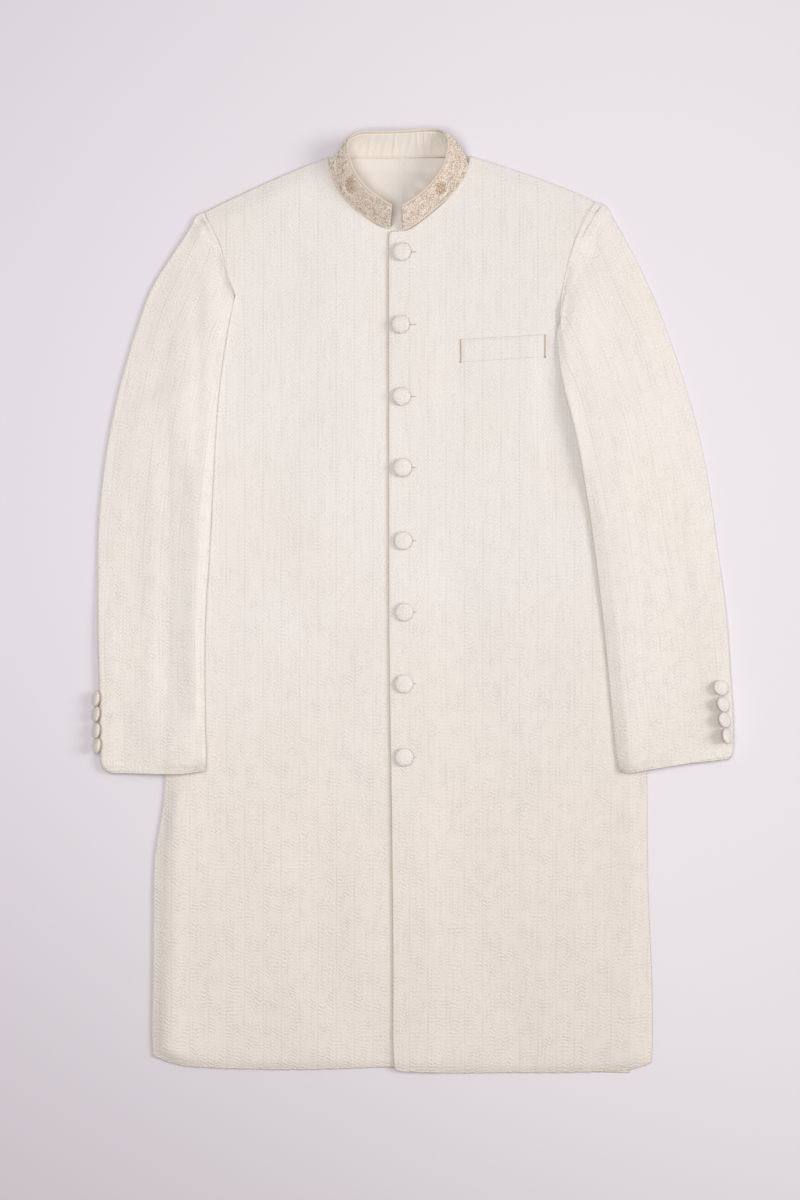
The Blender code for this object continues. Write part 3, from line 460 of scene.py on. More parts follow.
# Leans outwards and nods towards the neck, in degrees
CUFF_BUTTON_LEANS = {"left": (16.0, 34.0, 39.0, 49.0), "right": (60.0, 60.0, 60.0, 60.0)}
CUFF_BUTTON_SHINGLE = 18.0
# Where in the weave the cuff buttons' covers lie: x, and step along y from one to the next
CUFF_BUTTON_CLOTH = (340.0, 30.0)
CUFF_BUTTON_SEEDS = 20
# Outline of a covered button: share of the radius, share of the height
BUTTON_PROFILE = [(0.45, 0.0), (0.78, 0.0), (0.95, 0.14), (1.0, 0.36), (0.95, 0.62), (0.8, 0.83),
                  (0.5, 0.955), (0.2, 0.995)]
# Gathers of the cover: how many round it, how strong, how turned, depth, share lost at the top, share of
# the radius where they start, and share that lifts the cover
PLEAT_COUNTS = (9, 14, 23, 31)
PLEAT_STRENGTHS = (0.5, 1.0)
PLEAT_SHIFTS = (0.0, 6.3)
PLEAT_DEPTH = 0.32
PLEAT_TOP = 0.75
GATHER_START = 0.35
PLEAT_LIFT = 0.3
# Painted shade at a button's seat, as an edge share: at its seat, and how fast it fades with height
BUTTON_TINT = (0.0, 0.28)
CUFF_BUTTON_TINT = (0.0, 0.24)

# Buttonholes: x of both ends, the stitches along them, and the bar across the outer end
HOLE_START = 8.6
HOLE_END = 18.4
HOLE_PITCH = 0.62
HOLE_GAP = 0.2
HOLE_STITCH = 0.85
HOLE_BAR = 1.1
HOLE_BAR_SHIFTS = (-0.4, 0.0, 0.4)
HOLE_STITCH_SIZE = (0.5, 0.4)
HOLE_SLIT_SIZE = (0.5, 0.25)

# ---- Colours, as linear light ----

IVORY = (0.798, 0.757, 0.722)
IVORY_WARM = (0.785, 0.730, 0.668)
HEM_WARM = (0.798, 0.725, 0.660)
# Sleeves and covered buttons are of the body's cloth, in lighter colours as painted light
SLEEVE_IVORY = (0.832, 0.782, 0.736)
SLEEVE_WARM = (0.822, 0.756, 0.684)
# Tan of the painted shade at folded and cut edges
EDGE_SHADE_TAN = (0.64, 0.51, 0.37)
BUTTON_IVORY = (0.835, 0.785, 0.735)
# Tan of the painted shade at a button's seat
BUTTON_SEAT_SHADE = (0.45, 0.33, 0.22)
SATIN = (0.705, 0.65, 0.605)
SATIN_WARM = (0.70, 0.63, 0.555)
FACING = (0.845, 0.78, 0.715)
FACING_WARM = (0.81, 0.735, 0.65)
SEAM_TAN = (0.75, 0.665, 0.56)
COLLAR_BEIGE = (0.71, 0.595, 0.495)
COLLAR_WARM = (0.60, 0.48, 0.38)
# Thread and bead looks: light colour, dark colour, metallic, roughness, scale of the twist
THREAD_LOOKS = {
    "bronze": ((0.62, 0.44, 0.28), (0.40, 0.27, 0.16), 0.3, 0.40, 2400.0),
    "cream": ((0.94, 0.88, 0.80), (0.84, 0.76, 0.65), 0.0, 0.38, 2600.0),
    "gold": ((0.82, 0.66, 0.48), (0.60, 0.45, 0.30), 0.3, 0.36, 2400.0),
    "pearl": ((0.98, 0.94, 0.90), (0.90, 0.84, 0.77), 0.0, 0.22, 300.0),
    "silver": ((0.66, 0.63, 0.62), (0.42, 0.39, 0.40), 0.5, 0.26, 300.0),
}
SEWING_LOOKS = {
    "ivory_thread": ((0.78, 0.71, 0.62), (0.7, 0.62, 0.52), 0.0, 0.5, 2200.0),
    "tan_thread": ((0.42, 0.3, 0.19), (0.26, 0.17, 0.1), 0.0, 0.55, 2200.0),
    "buttonhole_shadow": ((0.5, 0.41, 0.31), (0.4, 0.32, 0.23), 0.0, 0.8, 900.0),
}
# Crinkle between two heights on the cloth in metres: low, high, share at the low one and at the high one
BODY_CRINKLE = (-0.3, 0.25, 1.0, 0.5)
SLEEVE_CRINKLE = (0.0, 0.5, 1.0, 0.6)
BUTTON_CRINKLE = (-1.0, 1.0, 0.8, 0.8)
# Brocade looks: crinkle, depth of the relief and heights between which it warms towards the hem, both in
# metres, then the colours of the cloth, of its warm patches and of the painted shade at its edges
BROCADE_LOOKS = {
    "body": (BODY_CRINKLE, 0.00042, (-0.5, 0.15), IVORY, IVORY_WARM, EDGE_SHADE_TAN),
    "sleeve": (SLEEVE_CRINKLE, 0.00046, (-0.3, 0.25), SLEEVE_IVORY, SLEEVE_WARM, EDGE_SHADE_TAN),
    "button": (BUTTON_CRINKLE, 0.0006, (-3.0, -2.0), BUTTON_IVORY, SLEEVE_IVORY, BUTTON_SEAT_SHADE),
}
# Plain silks and satins: colour, colour of the warm patches, roughness, ribs in a metre
SATIN_LOOKS = {
    "ivory_satin_lining": (SATIN, SATIN_WARM, 0.42, 900.0),
    "ivory_silk_facing": (FACING, FACING_WARM, 0.5, 1300.0),
    "tan_silk_seam": (SEAM_TAN, SEAM_TAN, 0.5, 1300.0),
    "beige_silk_collar": (COLLAR_BEIGE, COLLAR_WARM, 0.5, 1500.0),
}
# Sheens: weight, roughness, tint
BROCADE_SHEEN = (0.12, 0.45, (1.0, 0.98, 0.95))
SATIN_SHEEN = (0.1, 0.35, (1.0, 0.98, 0.94))
# Roughness of the brocade's ground and of its thread, how far it varies in silk and in sewing thread, and
# depths of their relief in metres
BROCADE_GLOSS = (0.72, 0.5)
GLOSS_SPREAD = 0.12
SATIN_DEPTH = 0.00012
TWIST_DEPTH = 0.0001

# ---- Weave of the brocade, in millimetres on the cloth ----

LINE_PITCH = 21.0
CRINKLE_PITCH = 4.3
# Beats of the figures up the cloth, and how much every second column is slipped
LINE_BEAT = 4.3
LADDER_BEAT = 4.1
ZIGZAG_BEAT = 2.9
LOZENGE_BEAT = 4.6
COLUMN_SLIP = 2.3
# From each upright line outwards: where its pits end, the ladder's span and softness, the zigzag's start
# and half width, then the lozenges from the middle between two lines
PIT_REACH = (0.35, 1.0)
LADDER_SPAN = (1.3, 3.6, 0.5)
ZIGZAG_START = 4.4
ZIGZAG_WIDTH = (0.25, 0.75)
LOZENGE_SIZE = 2.9
LOZENGE_RING = 0.8
LOZENGE_RING_WIDTH = (0.1, 0.28)
LOZENGE_HEART = (0.15, 0.35)
# How the upright lines wander, how the crinkle slants to and fro and strays, and the pitch of the yarns
WANDER = 1.6
WANDER_SCALE = 30.0
SLANT_TURN = 5.2
SLANT = 0.4
CRINKLE_STRAY = 2.4
CRINKLE_CLEAR = (0.4, 1.8)
YARN_PITCH = (0.75, 0.66)
# Scales across and up the cloth of the crinkle's stray, the slubs and the streaks, and the streaks' span
STRAY_SCALES = (0.1, 0.04)
SLUB_SCALES = (0.9, 0.16)
STREAK_SCALES = (0.42, 0.022)
STREAK_SPAN = (0.5, 0.72)
# Patches where pits, figures and crinkle are worn: scale and detail, low and high, least share
PIT_WEAR = (26.0, 1.0, 0.35, 0.65, 0.35)
FIGURE_WEAR = (70.0, 2.0, 0.36, 0.64, 0.25)
CRINKLE_WEAR = (70.0, 2.0, 0.3, 0.7, 0.2)
# Shares of the relief and of the darker hollows, which are painted shade in the crinkle and the pits and
# the cloth's own tone in its streaks
FIGURE_RELIEF = 0.5
CRINKLE_RELIEF = 0.5
PIT_RELIEF = 0.6
WEAVE_RELIEF = 0.2
YARN_SHARE = 0.5
THREAD_START = 0.35
CRINKLE_HOLLOW = 0.6
STREAK_HOLLOW = 0.4
PIT_HOLLOW = 0.7

# ---- Camera, light and floor ----

CAMERA_HEIGHT = 2.4
CAMERA_SENSOR = 36.0
FRAME_HEIGHT = 1.38
FLOOR_SIZE = 9.0
FLOOR_DROP = 0.0004
# Paper colours from the dim side to the window side as painted light, and the x span of that sweep; then the
# painted shade of one corner and its span
FLOOR_COLOURS = ((0.680, 0.652, 0.697, 1.0), (0.756, 0.727, 0.768, 1.0))
FLOOR_SWEEP = (-0.62, 0.5)
FLOOR_SHADE = (0.60, 0.56, 0.60, 1.0)
FLOOR_SHADE_SPAN = (-1.15, -0.2)
# Lights: name, place, size, power, colour
LIGHTS = [
    ("softbox_above", (-0.3, 0.12, 1.95), 1.2, 24.7, (1.0, 0.988, 0.982)),
    ("window_right", (4.2, 0.5, 3.2), 2.6, 136.0, (1.0, 0.985, 0.968)),
]
ROOM_COLOUR = (1.0, 0.96, 0.965)
ROOM_STRENGTH = 0.29


# ---- Lines and folds ----

def smoothstep(low, high, value):
    """Eases from 0 at low to 1 at high, which may lie the other way round."""
    t = np.clip((value - low) / (high - low), 0.0, 1.0)
    return t * t * (3.0 - 2.0 * t)


def rounded(points, steps=6):
    """A smooth line through the points, as an array with a row a point, with no overshoot."""
    knots = np.array(points, float)
    knots = np.vstack([2 * knots[0] - knots[1], knots, 2 * knots[-1] - knots[-2]])
    pace = np.sqrt(np.linalg.norm(np.diff(knots, axis=0), axis=1))[:, None]
    step = np.diff(knots, axis=0) / pace
    slope = step[:-1] + step[1:] - (knots[2:] - knots[:-2]) / (pace[:-1] + pace[1:])
    rows = []
    for i in range(len(knots) - 3):
        start, end = knots[i + 1], knots[i + 2]
        leave, arrive = slope[i] * pace[i + 1], slope[i + 1] * pace[i + 1]
        for t in np.arange(steps) / steps:
            bend = (3 * (end - start) - 2 * leave - arrive) * t ** 2
            rows.append(start + leave * t + bend + (2 * (start - end) + leave + arrive) * t ** 3)
    rows.append(knots[-2])
    return np.array(rows)


def line_length(line):
    return float(np.linalg.norm(np.diff(line, axis=0), axis=1).sum())


def run(line):
    """Length along a line up to each of its points."""
    return np.r_[0.0, np.cumsum(np.linalg.norm(np.diff(line, axis=0), axis=1))]


def unit(vectors):
    """The same directions, each of length 1."""
    return vectors / np.linalg.norm(vectors, axis=1)[:, None]


def turns(count):
    """Angles all the way round, evenly spaced."""
    return np.linspace(0.0, 2 * math.pi, count, endpoint=False)


def along(line, share):
    """Points at these shares of the line's length."""
    length = np.r_[0.0, np.cumsum(np.hypot(*np.diff(line[:, :2], axis=0).T))]
    return np.stack([np.interp(share, length / length[-1], column) for column in line.T], axis=-1)


def distance_to(line, x, y):
    """Shortest distance from each point to a line of short straight pieces."""
    nearest = np.full(np.shape(x), FAR)
    for (ax, ay), (bx, by) in zip(line[:-1, :2], line[1:, :2]):
        dx, dy = bx - ax, by - ay
        t = np.clip(((x - ax) * dx + (y - ay) * dy) / (dx * dx + dy * dy), 0.0, 1.0)
        nearest = np.minimum(nearest, np.hypot(x - ax - t * dx, y - ay - t * dy))
    return nearest


def fold_height(folds, x, y):
    """Sum of the ridges and troughs at each point."""
    height = np.zeros(np.shape(x))
    for ax, ay, bx, by, width, rise in folds:
        dx, dy = bx - ax, by - ay
        t = ((x - ax) * dx + (y - ay) * dy) / (dx * dx + dy * dy)
        across = np.hypot(x - ax - np.clip(t, 0, 1) * dx, y - ay - np.clip(t, 0, 1) * dy)
        ends = smoothstep(-FOLD_FADE_OUT, FOLD_FADE_IN, t)
        ends = ends * smoothstep(1 + FOLD_FADE_OUT, 1 - FOLD_FADE_IN, t)
        height = height + rise * ends * np.exp(-(across / width) ** 2)
    return height


def soft_waves(x, y):
    """Broad, shallow waves of cloth that has settled under its own weight."""
    height = np.zeros(np.shape(x))
    for wavelength, heading, shift, rise in CLOTH_WAVES:
        turn = math.radians(heading)
        level = (x * math.cos(turn) + y * math.sin(turn)) / wavelength
        aside = (y * math.cos(turn) - x * math.sin(turn)) / (WAVE_DRIFT_SPAN * wavelength)
        drift = WAVE_DRIFT * np.sin(2 * math.pi * aside)
        height = height + rise * np.sin(2 * math.pi * level + drift + shift)
    return height


def ruffled(share, length):
    """How far a cut edge strays from its line, in uneven rhythms."""
    place = share * length
    return sum(rise * np.sin(2 * math.pi * place / pitch + shift) for pitch, shift, rise in EDGE_WAVES)


def either_side(edge):
    """The smooth line of this edge on the left and on the right of the coat."""
    return {side: rounded(edge[side]) for side in SIDES}


SHOULDER = either_side(SHOULDER_EDGE)
HEM = either_side(HEM_EDGE)
SIDE = either_side(SIDE_EDGE)
CENTRE = either_side(CENTRE_EDGE)
NECK = either_side(NECK_EDGE)
LOWER_ARMHOLE = either_side(LOW_ARMHOLE)
ARMHOLE = either_side(FRONT_ARMHOLE)
INNER_FOLD = either_side(SLEEVE_INNER)
OUTER_FOLD = either_side(SLEEVE_OUTER)
CUFF = either_side(CUFF_EDGE)


# ---- Heights of the body and of what lies on it ----

def front_under(side, x, y):
    """Height of the underside of a front."""
    edge = np.minimum(distance_to(SHOULDER[side], x, y), distance_to(SIDE[side], x, y))
    edge = np.minimum(edge, distance_to(HEM[side], x, y))
    lift = 1.0 - (1.0 - np.clip(edge / EDGE_ROLL, 0.0, 1.0)) ** ROLL_POWER
    height = BACK_WALL + SEAM_GAP + FRONT_LOFT * lift + fold_height(FRONT_FOLDS, x, y) * lift
    if side == "left":
        return height + (FRONT_WALL + LAP_GAP - LAP_SINK * lift) * smoothstep(LAP_END, LAP_FULL, x)
    return height - LAP_SINK * lift * smoothstep(SINK_END, SINK_FULL, x)


def front_wall(side, x, y):
    """Thickness of a front, more over the shoulder."""
    away = np.hypot(np.abs(x) - SHOULDER_CENTRE[0], y - SHOULDER_CENTRE[1])
    inside = smoothstep(0.0, EDGE_ROLL, distance_to(SHOULDER[side], x, y))
    return FRONT_WALL + SHOULDER_EXTRA * inside * np.exp(-(away / SHOULDER_SPREAD) ** 2)


def front_top(side, x, y):
    return front_under(side, x, y) + front_wall(side, x, y)


def bow(edge, part):
    """How far an edge bends away from the straight line between its ends."""
    return along(edge, part) - edge[0] - part[..., None] * (edge[-1] - edge[0])


def sleeve_edges(side, share):
    """Ends of a sleeve's rings on its inner and its outer fold."""
    ends = []
    for line in (INNER_FOLD[side], OUTER_FOLD[side]):
        y = line[0, 0] + (line[-1, 0] - line[0, 0]) * share
        ends.append(np.stack([np.interp(y, line[:, 0], line[:, 1]), y], axis=-1))
    return ends


def sleeve_plan(side, share, part):
    """x, y at these parts of a sleeve's rings, whose ends bend to the cuff's edge and to the armhole's."""
    inner, outer = sleeve_edges(side, share)
    part = np.broadcast_to(part, np.broadcast_shapes(np.shape(share), np.shape(part)))
    point = inner + (outer - inner) * part[..., None]
    cuff = 1.0 - smoothstep(0.0, CUFF_BEND, share)
    head = smoothstep(HEAD_BEND, 1.0, share)
    point = point + cuff[..., None] * bow(CUFF[side], part)
    return point + head[..., None] * (bow(ARMHOLE[side], part) + np.array([SIGN[side] * HEAD_CLEAR, 0.0]))


def back_armhole(side):
    """The back's armhole from the underarm to the shoulder, where the under sleeve meets it."""
    underarm = SIDE[side][-1]
    rings = sleeve_plan(side, np.array(COARSE_RINGS), np.full(len(COARSE_RINGS), UNDER_PRONG))
    rest = along(ARMHOLE[side], np.linspace(UNDER_PRONG, 1.0, BACK_HEAD_STEPS)[1:])
    return np.vstack([underarm, rings[rings[:, 1] > underarm[1] + UNDERARM_START], rest])


BACK_ARMHOLE = {side: back_armhole(side) for side in SIDES}


def body_side(side, y):
    """How far out the body reaches at this height: the side seam, then the back's armhole."""
    line = np.vstack([SIDE[side], BACK_ARMHOLE[side][1:]])
    return np.interp(y, line[:, 1], np.abs(line[:, 0]))


def sleeve_bed(side, x, y, drop=SLEEVE_DROP, early=0.0):
    """Height of what a sleeve lies on, falling to the surface beyond the body's side within drop."""
    inside = body_side(side, y) - np.abs(x)
    inner_x = SIGN[side] * np.minimum(np.abs(x), body_side(side, y))
    underarm = SIDE[side][-1, 1]
    shift = SLEEVE_DROP * smoothstep(underarm, underarm + UNDERARM_RISE, y) + early
    front = front_top(side, inner_x, y) + SLEEVE_LIFT
    return front * smoothstep(shift - drop, shift, inside)


# ---- Meshes ----

def add_mesh(name, points, faces, material, uv=None, edge=None):
    """A smooth mesh from points in millimetres. uv is each point's place on the flat cloth in metres, and
    edge its distance from the nearest cut edge as a share of EDGE_REACH."""
    mesh = bpy.data.meshes.new(name)
    mesh.from_pydata((np.asarray(points, float) * MM).tolist(), [], faces)
    work = bmesh.new()
    work.from_mesh(mesh)
    bmesh.ops.recalc_face_normals(work, faces=work.faces)
    work.to_mesh(mesh)
    work.free()
    if uv is not None:
        corner = np.zeros(len(mesh.loops), int)
        mesh.loops.foreach_get("vertex_index", corner)
        mesh.uv_layers.new(name="cloth").data.foreach_set("uv", np.asarray(uv, float)[corner].ravel())
    if edge is not None:
        mesh.attributes.new("edge", "FLOAT", "POINT").data.foreach_set("value", np.asarray(edge, float))
    mesh.shade_smooth()
    made = bpy.data.objects.new(name, mesh)
    made.data.materials.append(material)
    bpy.context.scene.collection.objects.link(made)
    return made


def shell_faces(keep):
    """Faces of a wall between an outer and an inner grid of points, round each cell that is kept."""
    rows, columns = keep.shape
    index = np.arange((rows + 1) * (columns + 1)).reshape(rows + 1, columns + 1)
    inner = index.size
    corners = np.stack([index[:-1, :-1], index[:-1, 1:], index[1:, 1:], index[1:, :-1]], axis=-1)
    padded = np.pad(keep, 1)
    faces = [corners[keep], corners[keep][:, ::-1] + inner]
    beside = [padded[:-2, 1:-1], padded[1:-1, 2:], padded[2:, 1:-1], padded[1:-1, :-2]]
    for side, neighbour in enumerate(beside):
        rim = corners[keep & ~neighbour]
        start, end = rim[:, side], rim[:, (side + 1) % 4]
        faces.append(np.stack([end, start, start + inner, end + inner], axis=-1))
    return np.concatenate(faces).tolist()


def add_shell(name, outer, inner, material, uv, edge, keep=None):
    """A sheet of cloth between two grids of points, which share their place on the flat cloth."""
    if keep is None:
        keep = np.ones((outer.shape[0] - 1, outer.shape[1] - 1), bool)
    points = np.concatenate([outer.reshape(-1, 3), inner.reshape(-1, 3)])
    both = [np.tile(value.reshape(outer.shape[0] * outer.shape[1], -1), (2, 1)) for value in (uv, edge)]
    made = add_mesh(name, points, shell_faces(keep), material, both[0], both[1][:, 0])
    loose = bmesh.new()
    loose.from_mesh(made.data)
    bmesh.ops.delete(loose, geom=[vert for vert in loose.verts if not vert.link_faces], context="VERTS")
    loose.to_mesh(made.data)
    loose.free()
    return made


def shares(length, step, corners=()):
    """Shares of a length from 0 to 1, a step apart and closer at both ends, where the edge is round."""
    stops = [0.0, *corners, 1.0]
    pieces = [np.linspace(low, high, max(2, round((high - low) * length / step)) + 1)
              for low, high in zip(stops, stops[1:])]
    rim = np.array(RIM_STEPS) / length
    body = np.concatenate(pieces)
    body = body[(body > RIM_CLEAR * rim[-1]) & (body < 1 - RIM_CLEAR * rim[-1])]
    found = np.unique(np.concatenate([rim, body, np.array(corners), 1 - rim]))
    return found[np.r_[True, np.diff(found) > LEAST_STEP]]


def roundness(distance, radius=EDGE_RADIUS):
    """Share of the full thickness at this distance from an edge, as on a half round."""
    near = 1.0 - np.clip(distance / radius, 0.0, 1.0)
    return np.maximum(np.sqrt(1.0 - near ** 2), LEAST_ROUND)


def edge_share(distance):
    """Distance from an edge as the mesh tells it to the edge tint."""
    return np.clip(distance / EDGE_REACH, 0.0, 1.0)


def pinched(top, under, round_share):
    """Heights of both sides of a sheet that meet in a half round at its edge."""
    middle, half = (top + under) / 2, (top - under) / 2 * round_share
    return middle + half, middle - half


def patch(bottom, top, start, end, across, up, end_fade):
    """Grid of points inside four edges: across runs from start to end, up from bottom to top."""
    u, v = np.meshgrid(across, up)
    u, v = u[..., None], v[..., None]
    near_end = u ** end_fade
    sides = (1 - near_end) * start(v[..., 0]) + near_end * end(v[..., 0])
    ends = (1 - v) * bottom(u[..., 0]) + v * top(u[..., 0])
    at_start = (1 - v) * bottom(0.0) + v * top(0.0)
    at_end = (1 - v) * bottom(1.0) + v * top(1.0)
    return sides + ends - (1 - near_end) * at_start - near_end * at_end


def chained(lines, joins):
    """One edge from several lines that meet, each over its own span of the edge's share."""
    def place(share):
        share = np.asarray(share, float)
        found = along(lines[-1], np.clip((share - joins[-1]) / (1.0 - joins[-1]), 0.0, 1.0))
        for line, low, high in reversed(list(zip(lines, joins, joins[1:]))):
            near = along(line, np.clip((share - low) / (high - low), 0.0, 1.0))
            found = np.where((share <= high)[..., None], near, found)
        return found
    return place


def cut_size(grid):
    """Width, length and area of the cloth in a grid of points, in metres: its cut before it was laid."""
    width = max(line_length(row) for row in grid) * MM
    length = max(line_length(column) for column in grid.transpose(1, 0, 2)) * MM
    across, up = np.diff(grid, axis=1)[:-1], np.diff(grid, axis=0)[:, :-1]
    area = float(np.linalg.norm(np.cross(across, up), axis=2).sum()) * MM * MM
    return (width, length), min(area, width * length)


def finish_piece(piece, node, cut=None, with_pieces=()):
    """Binds a piece to the coat and hides the solid that it stands for."""
    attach(piece, "root")
    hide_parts(node)
    if cut is not None:
        flat, area = cut_size(cut)
        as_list(with_pieces)
    return piece


def trim(piece):
    """Binds small work, such as stitches, that is sewn on a piece of the coat."""
    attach(piece, "root")
    return piece


# ---- Body pieces ----

# Grid over a front: steps across and up, share of its top that is neck, how fast the outer edge takes
# over from the centre's, and the shares of the outer edge where underarm and sleeve meet it
FRONT_STEP = 2.6
FRONT_ROW_STEP = 3.4
NECK_SHARE = 0.32
END_FADE = 2.0
UNDERARM_SHARE = 0.735
SLEEVE_SHARE = 0.885


def front_plan(side):
    """Grid of x, y over one front, from the hem up and from its edge at the centre out."""
    outer_lines = [SIDE[side], LOWER_ARMHOLE[side], ARMHOLE[side]]
    outer = chained(outer_lines, [0.0, UNDERARM_SHARE, SLEEVE_SHARE])
    top = chained([NECK[side], SHOULDER[side]], [0.0, NECK_SHARE])
    across = shares(line_length(HEM[side]), FRONT_STEP, [NECK_SHARE])
    up = shares(sum(map(line_length, outer_lines)), FRONT_ROW_STEP, [UNDERARM_SHARE, SLEEVE_SHARE])
    plan = patch(lambda u: along(HEM[side], u), top, lambda v: along(CENTRE[side], v), outer,
                 across, up, END_FADE)
    hem_line = line_length(HEM[side])
    near_hem = np.exp(-(distance_to(HEM[side], plan[..., 0], plan[..., 1]) / RUFFLE_REACH))
    plan[..., 1] += ruffled(across[None, :], hem_line) * near_hem
    return plan


def outline_distance(lines, plan):
    """Distance from each point of a plan to the nearest of these lines."""
    return np.min([distance_to(line, plan[..., 0], plan[..., 1]) for line in lines], axis=0)


def front_surface(side, x, y):
    """Height of the upper face of a front, with its creases and its settled waves."""
    edge = outline_distance([SHOULDER[side], SIDE[side], HEM[side]], np.stack([x, y], axis=-1))
    calm = smoothstep(0.0, WAVE_FADE, edge)
    height = front_top(side, x, y) + soft_waves(x, y) * calm + fold_height(FRONT_CREASES, x, y) * calm
    pressed = [depth * smoothstep(reach, 0.0, distance_to(line[side], x, y))
               for line, (depth, reach) in ((SIDE, SIDE_PRESS), (HEM, HEM_PRESS))]
    height = height - np.maximum(*pressed)
    if side == "left":
        bag = smoothstep(0.0, BAG_SOFTNESS, inside_box(BAG_BOX, x, y))
        height = height + BAG_RISE * bag
        height = height - PUCKER_DEPTH * np.exp(-((x - LAP_EDGE_X) / PUCKER_REACH) ** 2) * pucker(y)
    return height


def inside_box(box, x, y):
    """Distance inwards from the nearest side of a box, below zero outside it."""
    low_x, low_y, high_x, high_y = box
    return np.minimum(np.minimum(x - low_x, high_x - x), np.minimum(y - low_y, high_y - y))


def pucker(y):
    """The pull of each buttoned place on the edge of the front, from 0 to 1."""
    pull = np.zeros(np.shape(y))
    for _, place in FRONT_BUTTONS:
        pull = pull + np.exp(-((y - place) / PUCKER_LENGTH) ** 2)
    return pull


def make_front(side, material):
    """One front, rounded at its edges. Returns it with its outer points, which tell its flat size."""
    plan = front_plan(side)
    x, y = plan[..., 0], plan[..., 1]
    bare_share = BARE_NECK / line_length(NECK[side])
    bare_neck = along(NECK[side], np.linspace(0.0, bare_share, BARE_NECK_POINTS))
    # Painted shade: the tan tint along the folded centre edge, the bare neck and the hem
    folded = outline_distance([CENTRE[side], bare_neck], plan)
    folded = np.minimum(folded, outline_distance([HEM[side]], plan) * HEM_PALER)
    turned = outline_distance([SHOULDER[side], SIDE[side], LOWER_ARMHOLE[side]], plan)
    sewn = outline_distance([NECK[side], ARMHOLE[side]], plan)
    round_share = np.minimum(roundness(np.minimum(folded, turned)), roundness(sewn, SEAM_RADIUS))
    top, under = pinched(front_surface(side, x, y), front_under(side, x, y), round_share)
    outer = np.dstack([x, y, top])
    piece = add_shell("front_" + side, outer, np.dstack([x, y, under]), material, plan * MM,
                      edge_share(folded))
    return piece, outer


BACK_STEP = 7.0


def make_back(material):
    """The flat back, which the coat rests on."""
    vent_top = LEFT_VENT[-1][1]
    left_side = SIDE["left"][SIDE["left"][:, 1] > vent_top]
    armhole = {side: BACK_ARMHOLE[side] - np.array([SIGN[side] * ARMHOLE_CLEAR, 0.0]) for side in SIDES}
    right = np.vstack([SIDE["right"], armhole["right"][1:]])
    left = np.vstack([rounded(LEFT_VENT), left_side, armhole["left"][1:]])
    hem = rounded(BACK_HEM)
    top = np.vstack([SHOULDER["right"][::-1], rounded(BACK_NECK)[1:], SHOULDER["left"][1:]])
    hem[0], hem[-1], top[0], top[-1] = right[0], left[0], right[-1], left[-1]
    across = shares(line_length(hem), BACK_STEP)
    up = shares(line_length(left), BACK_STEP)
    plan = patch(lambda u: along(hem, u), lambda u: along(top, u), lambda v: along(right, v),
                 lambda v: along(left, v), across, up, 1.0)
    edge = outline_distance([hem, left, top, right], plan)
    shape = edge.shape
    top_z, under_z = pinched(np.full(shape, BACK_WALL), np.zeros(shape), roundness(edge))
    under_z = np.where(edge > EDGE_RADIUS, 0.0, under_z * UNDERSIDE_PRESS)
    outer = np.dstack([plan, top_z])
    piece = add_shell("back", outer, np.dstack([plan, under_z]), material, plan * MM, edge_share(edge))
    finish_piece(piece, "back", outer)


# The lining from its low end up: y of its ends, where it rises under the collar, where it follows the
# neck's edge, how far it runs past that edge, then the pleat down its centre
LINING_TOP = 507.6
LINING_FILLET = (490.0, 507.6, 2.6)
LINING_LOW = 404.0
LINING_NECK = 436.0
LINING_REACH = 5.0
LINING_CLEAR = 3.0
REACH_FADE = (495.0, 470.0)
PLEAT_X = 1.5
PLEAT_WIDTH = 3.0
PLEAT_RISE = 0.9
PLEAT_START = (438.0, 450.0)
LINING_GRID = (90, 110)


def make_back_lining(material):
    """The part of the back's lining that shows in the neck, with a pleat down its centre."""
    neck = {side: NECK[side][NECK[side][:, 1].argmin():] for side in SIDES}
    heights = np.linspace(LINING_LOW, LINING_TOP, LINING_GRID[0])
    level = np.maximum(heights, LINING_NECK)
    low, high = [np.interp(level, neck[side][:, 1], neck[side][:, 0]) for side in ("right", "left")]
    reach = LINING_REACH * smoothstep(*REACH_FADE, heights) - LINING_CLEAR
    low, high = low - reach, high + reach
    x = low[:, None] + (high - low)[:, None] * np.linspace(0.0, 1.0, LINING_GRID[1])
    y = np.broadcast_to(heights[:, None], x.shape)
    under = np.full(x.shape, BACK_WALL + SEAM_GAP)
    pleat = PLEAT_RISE * np.exp(-((x - PLEAT_X) / PLEAT_WIDTH) ** 2) * smoothstep(*PLEAT_START, y)
    fillet_low, fillet_high, fillet_rise = LINING_FILLET
    creases = fold_height(LINING_CREASES, x, y) + fillet_rise * smoothstep(fillet_low, fillet_high, y)
    outer = np.dstack([x, y, under + LINING_WALL + pleat + creases])
    plan = np.dstack([x, y])
    edge = np.full(x.shape, EDGE_REACH)
    piece = add_shell("back_lining", outer, np.dstack([x, y, under]), material, plan * MM, edge_share(edge))
    finish_piece(piece, "back_lining", outer)


WELT_STEP = 1.6


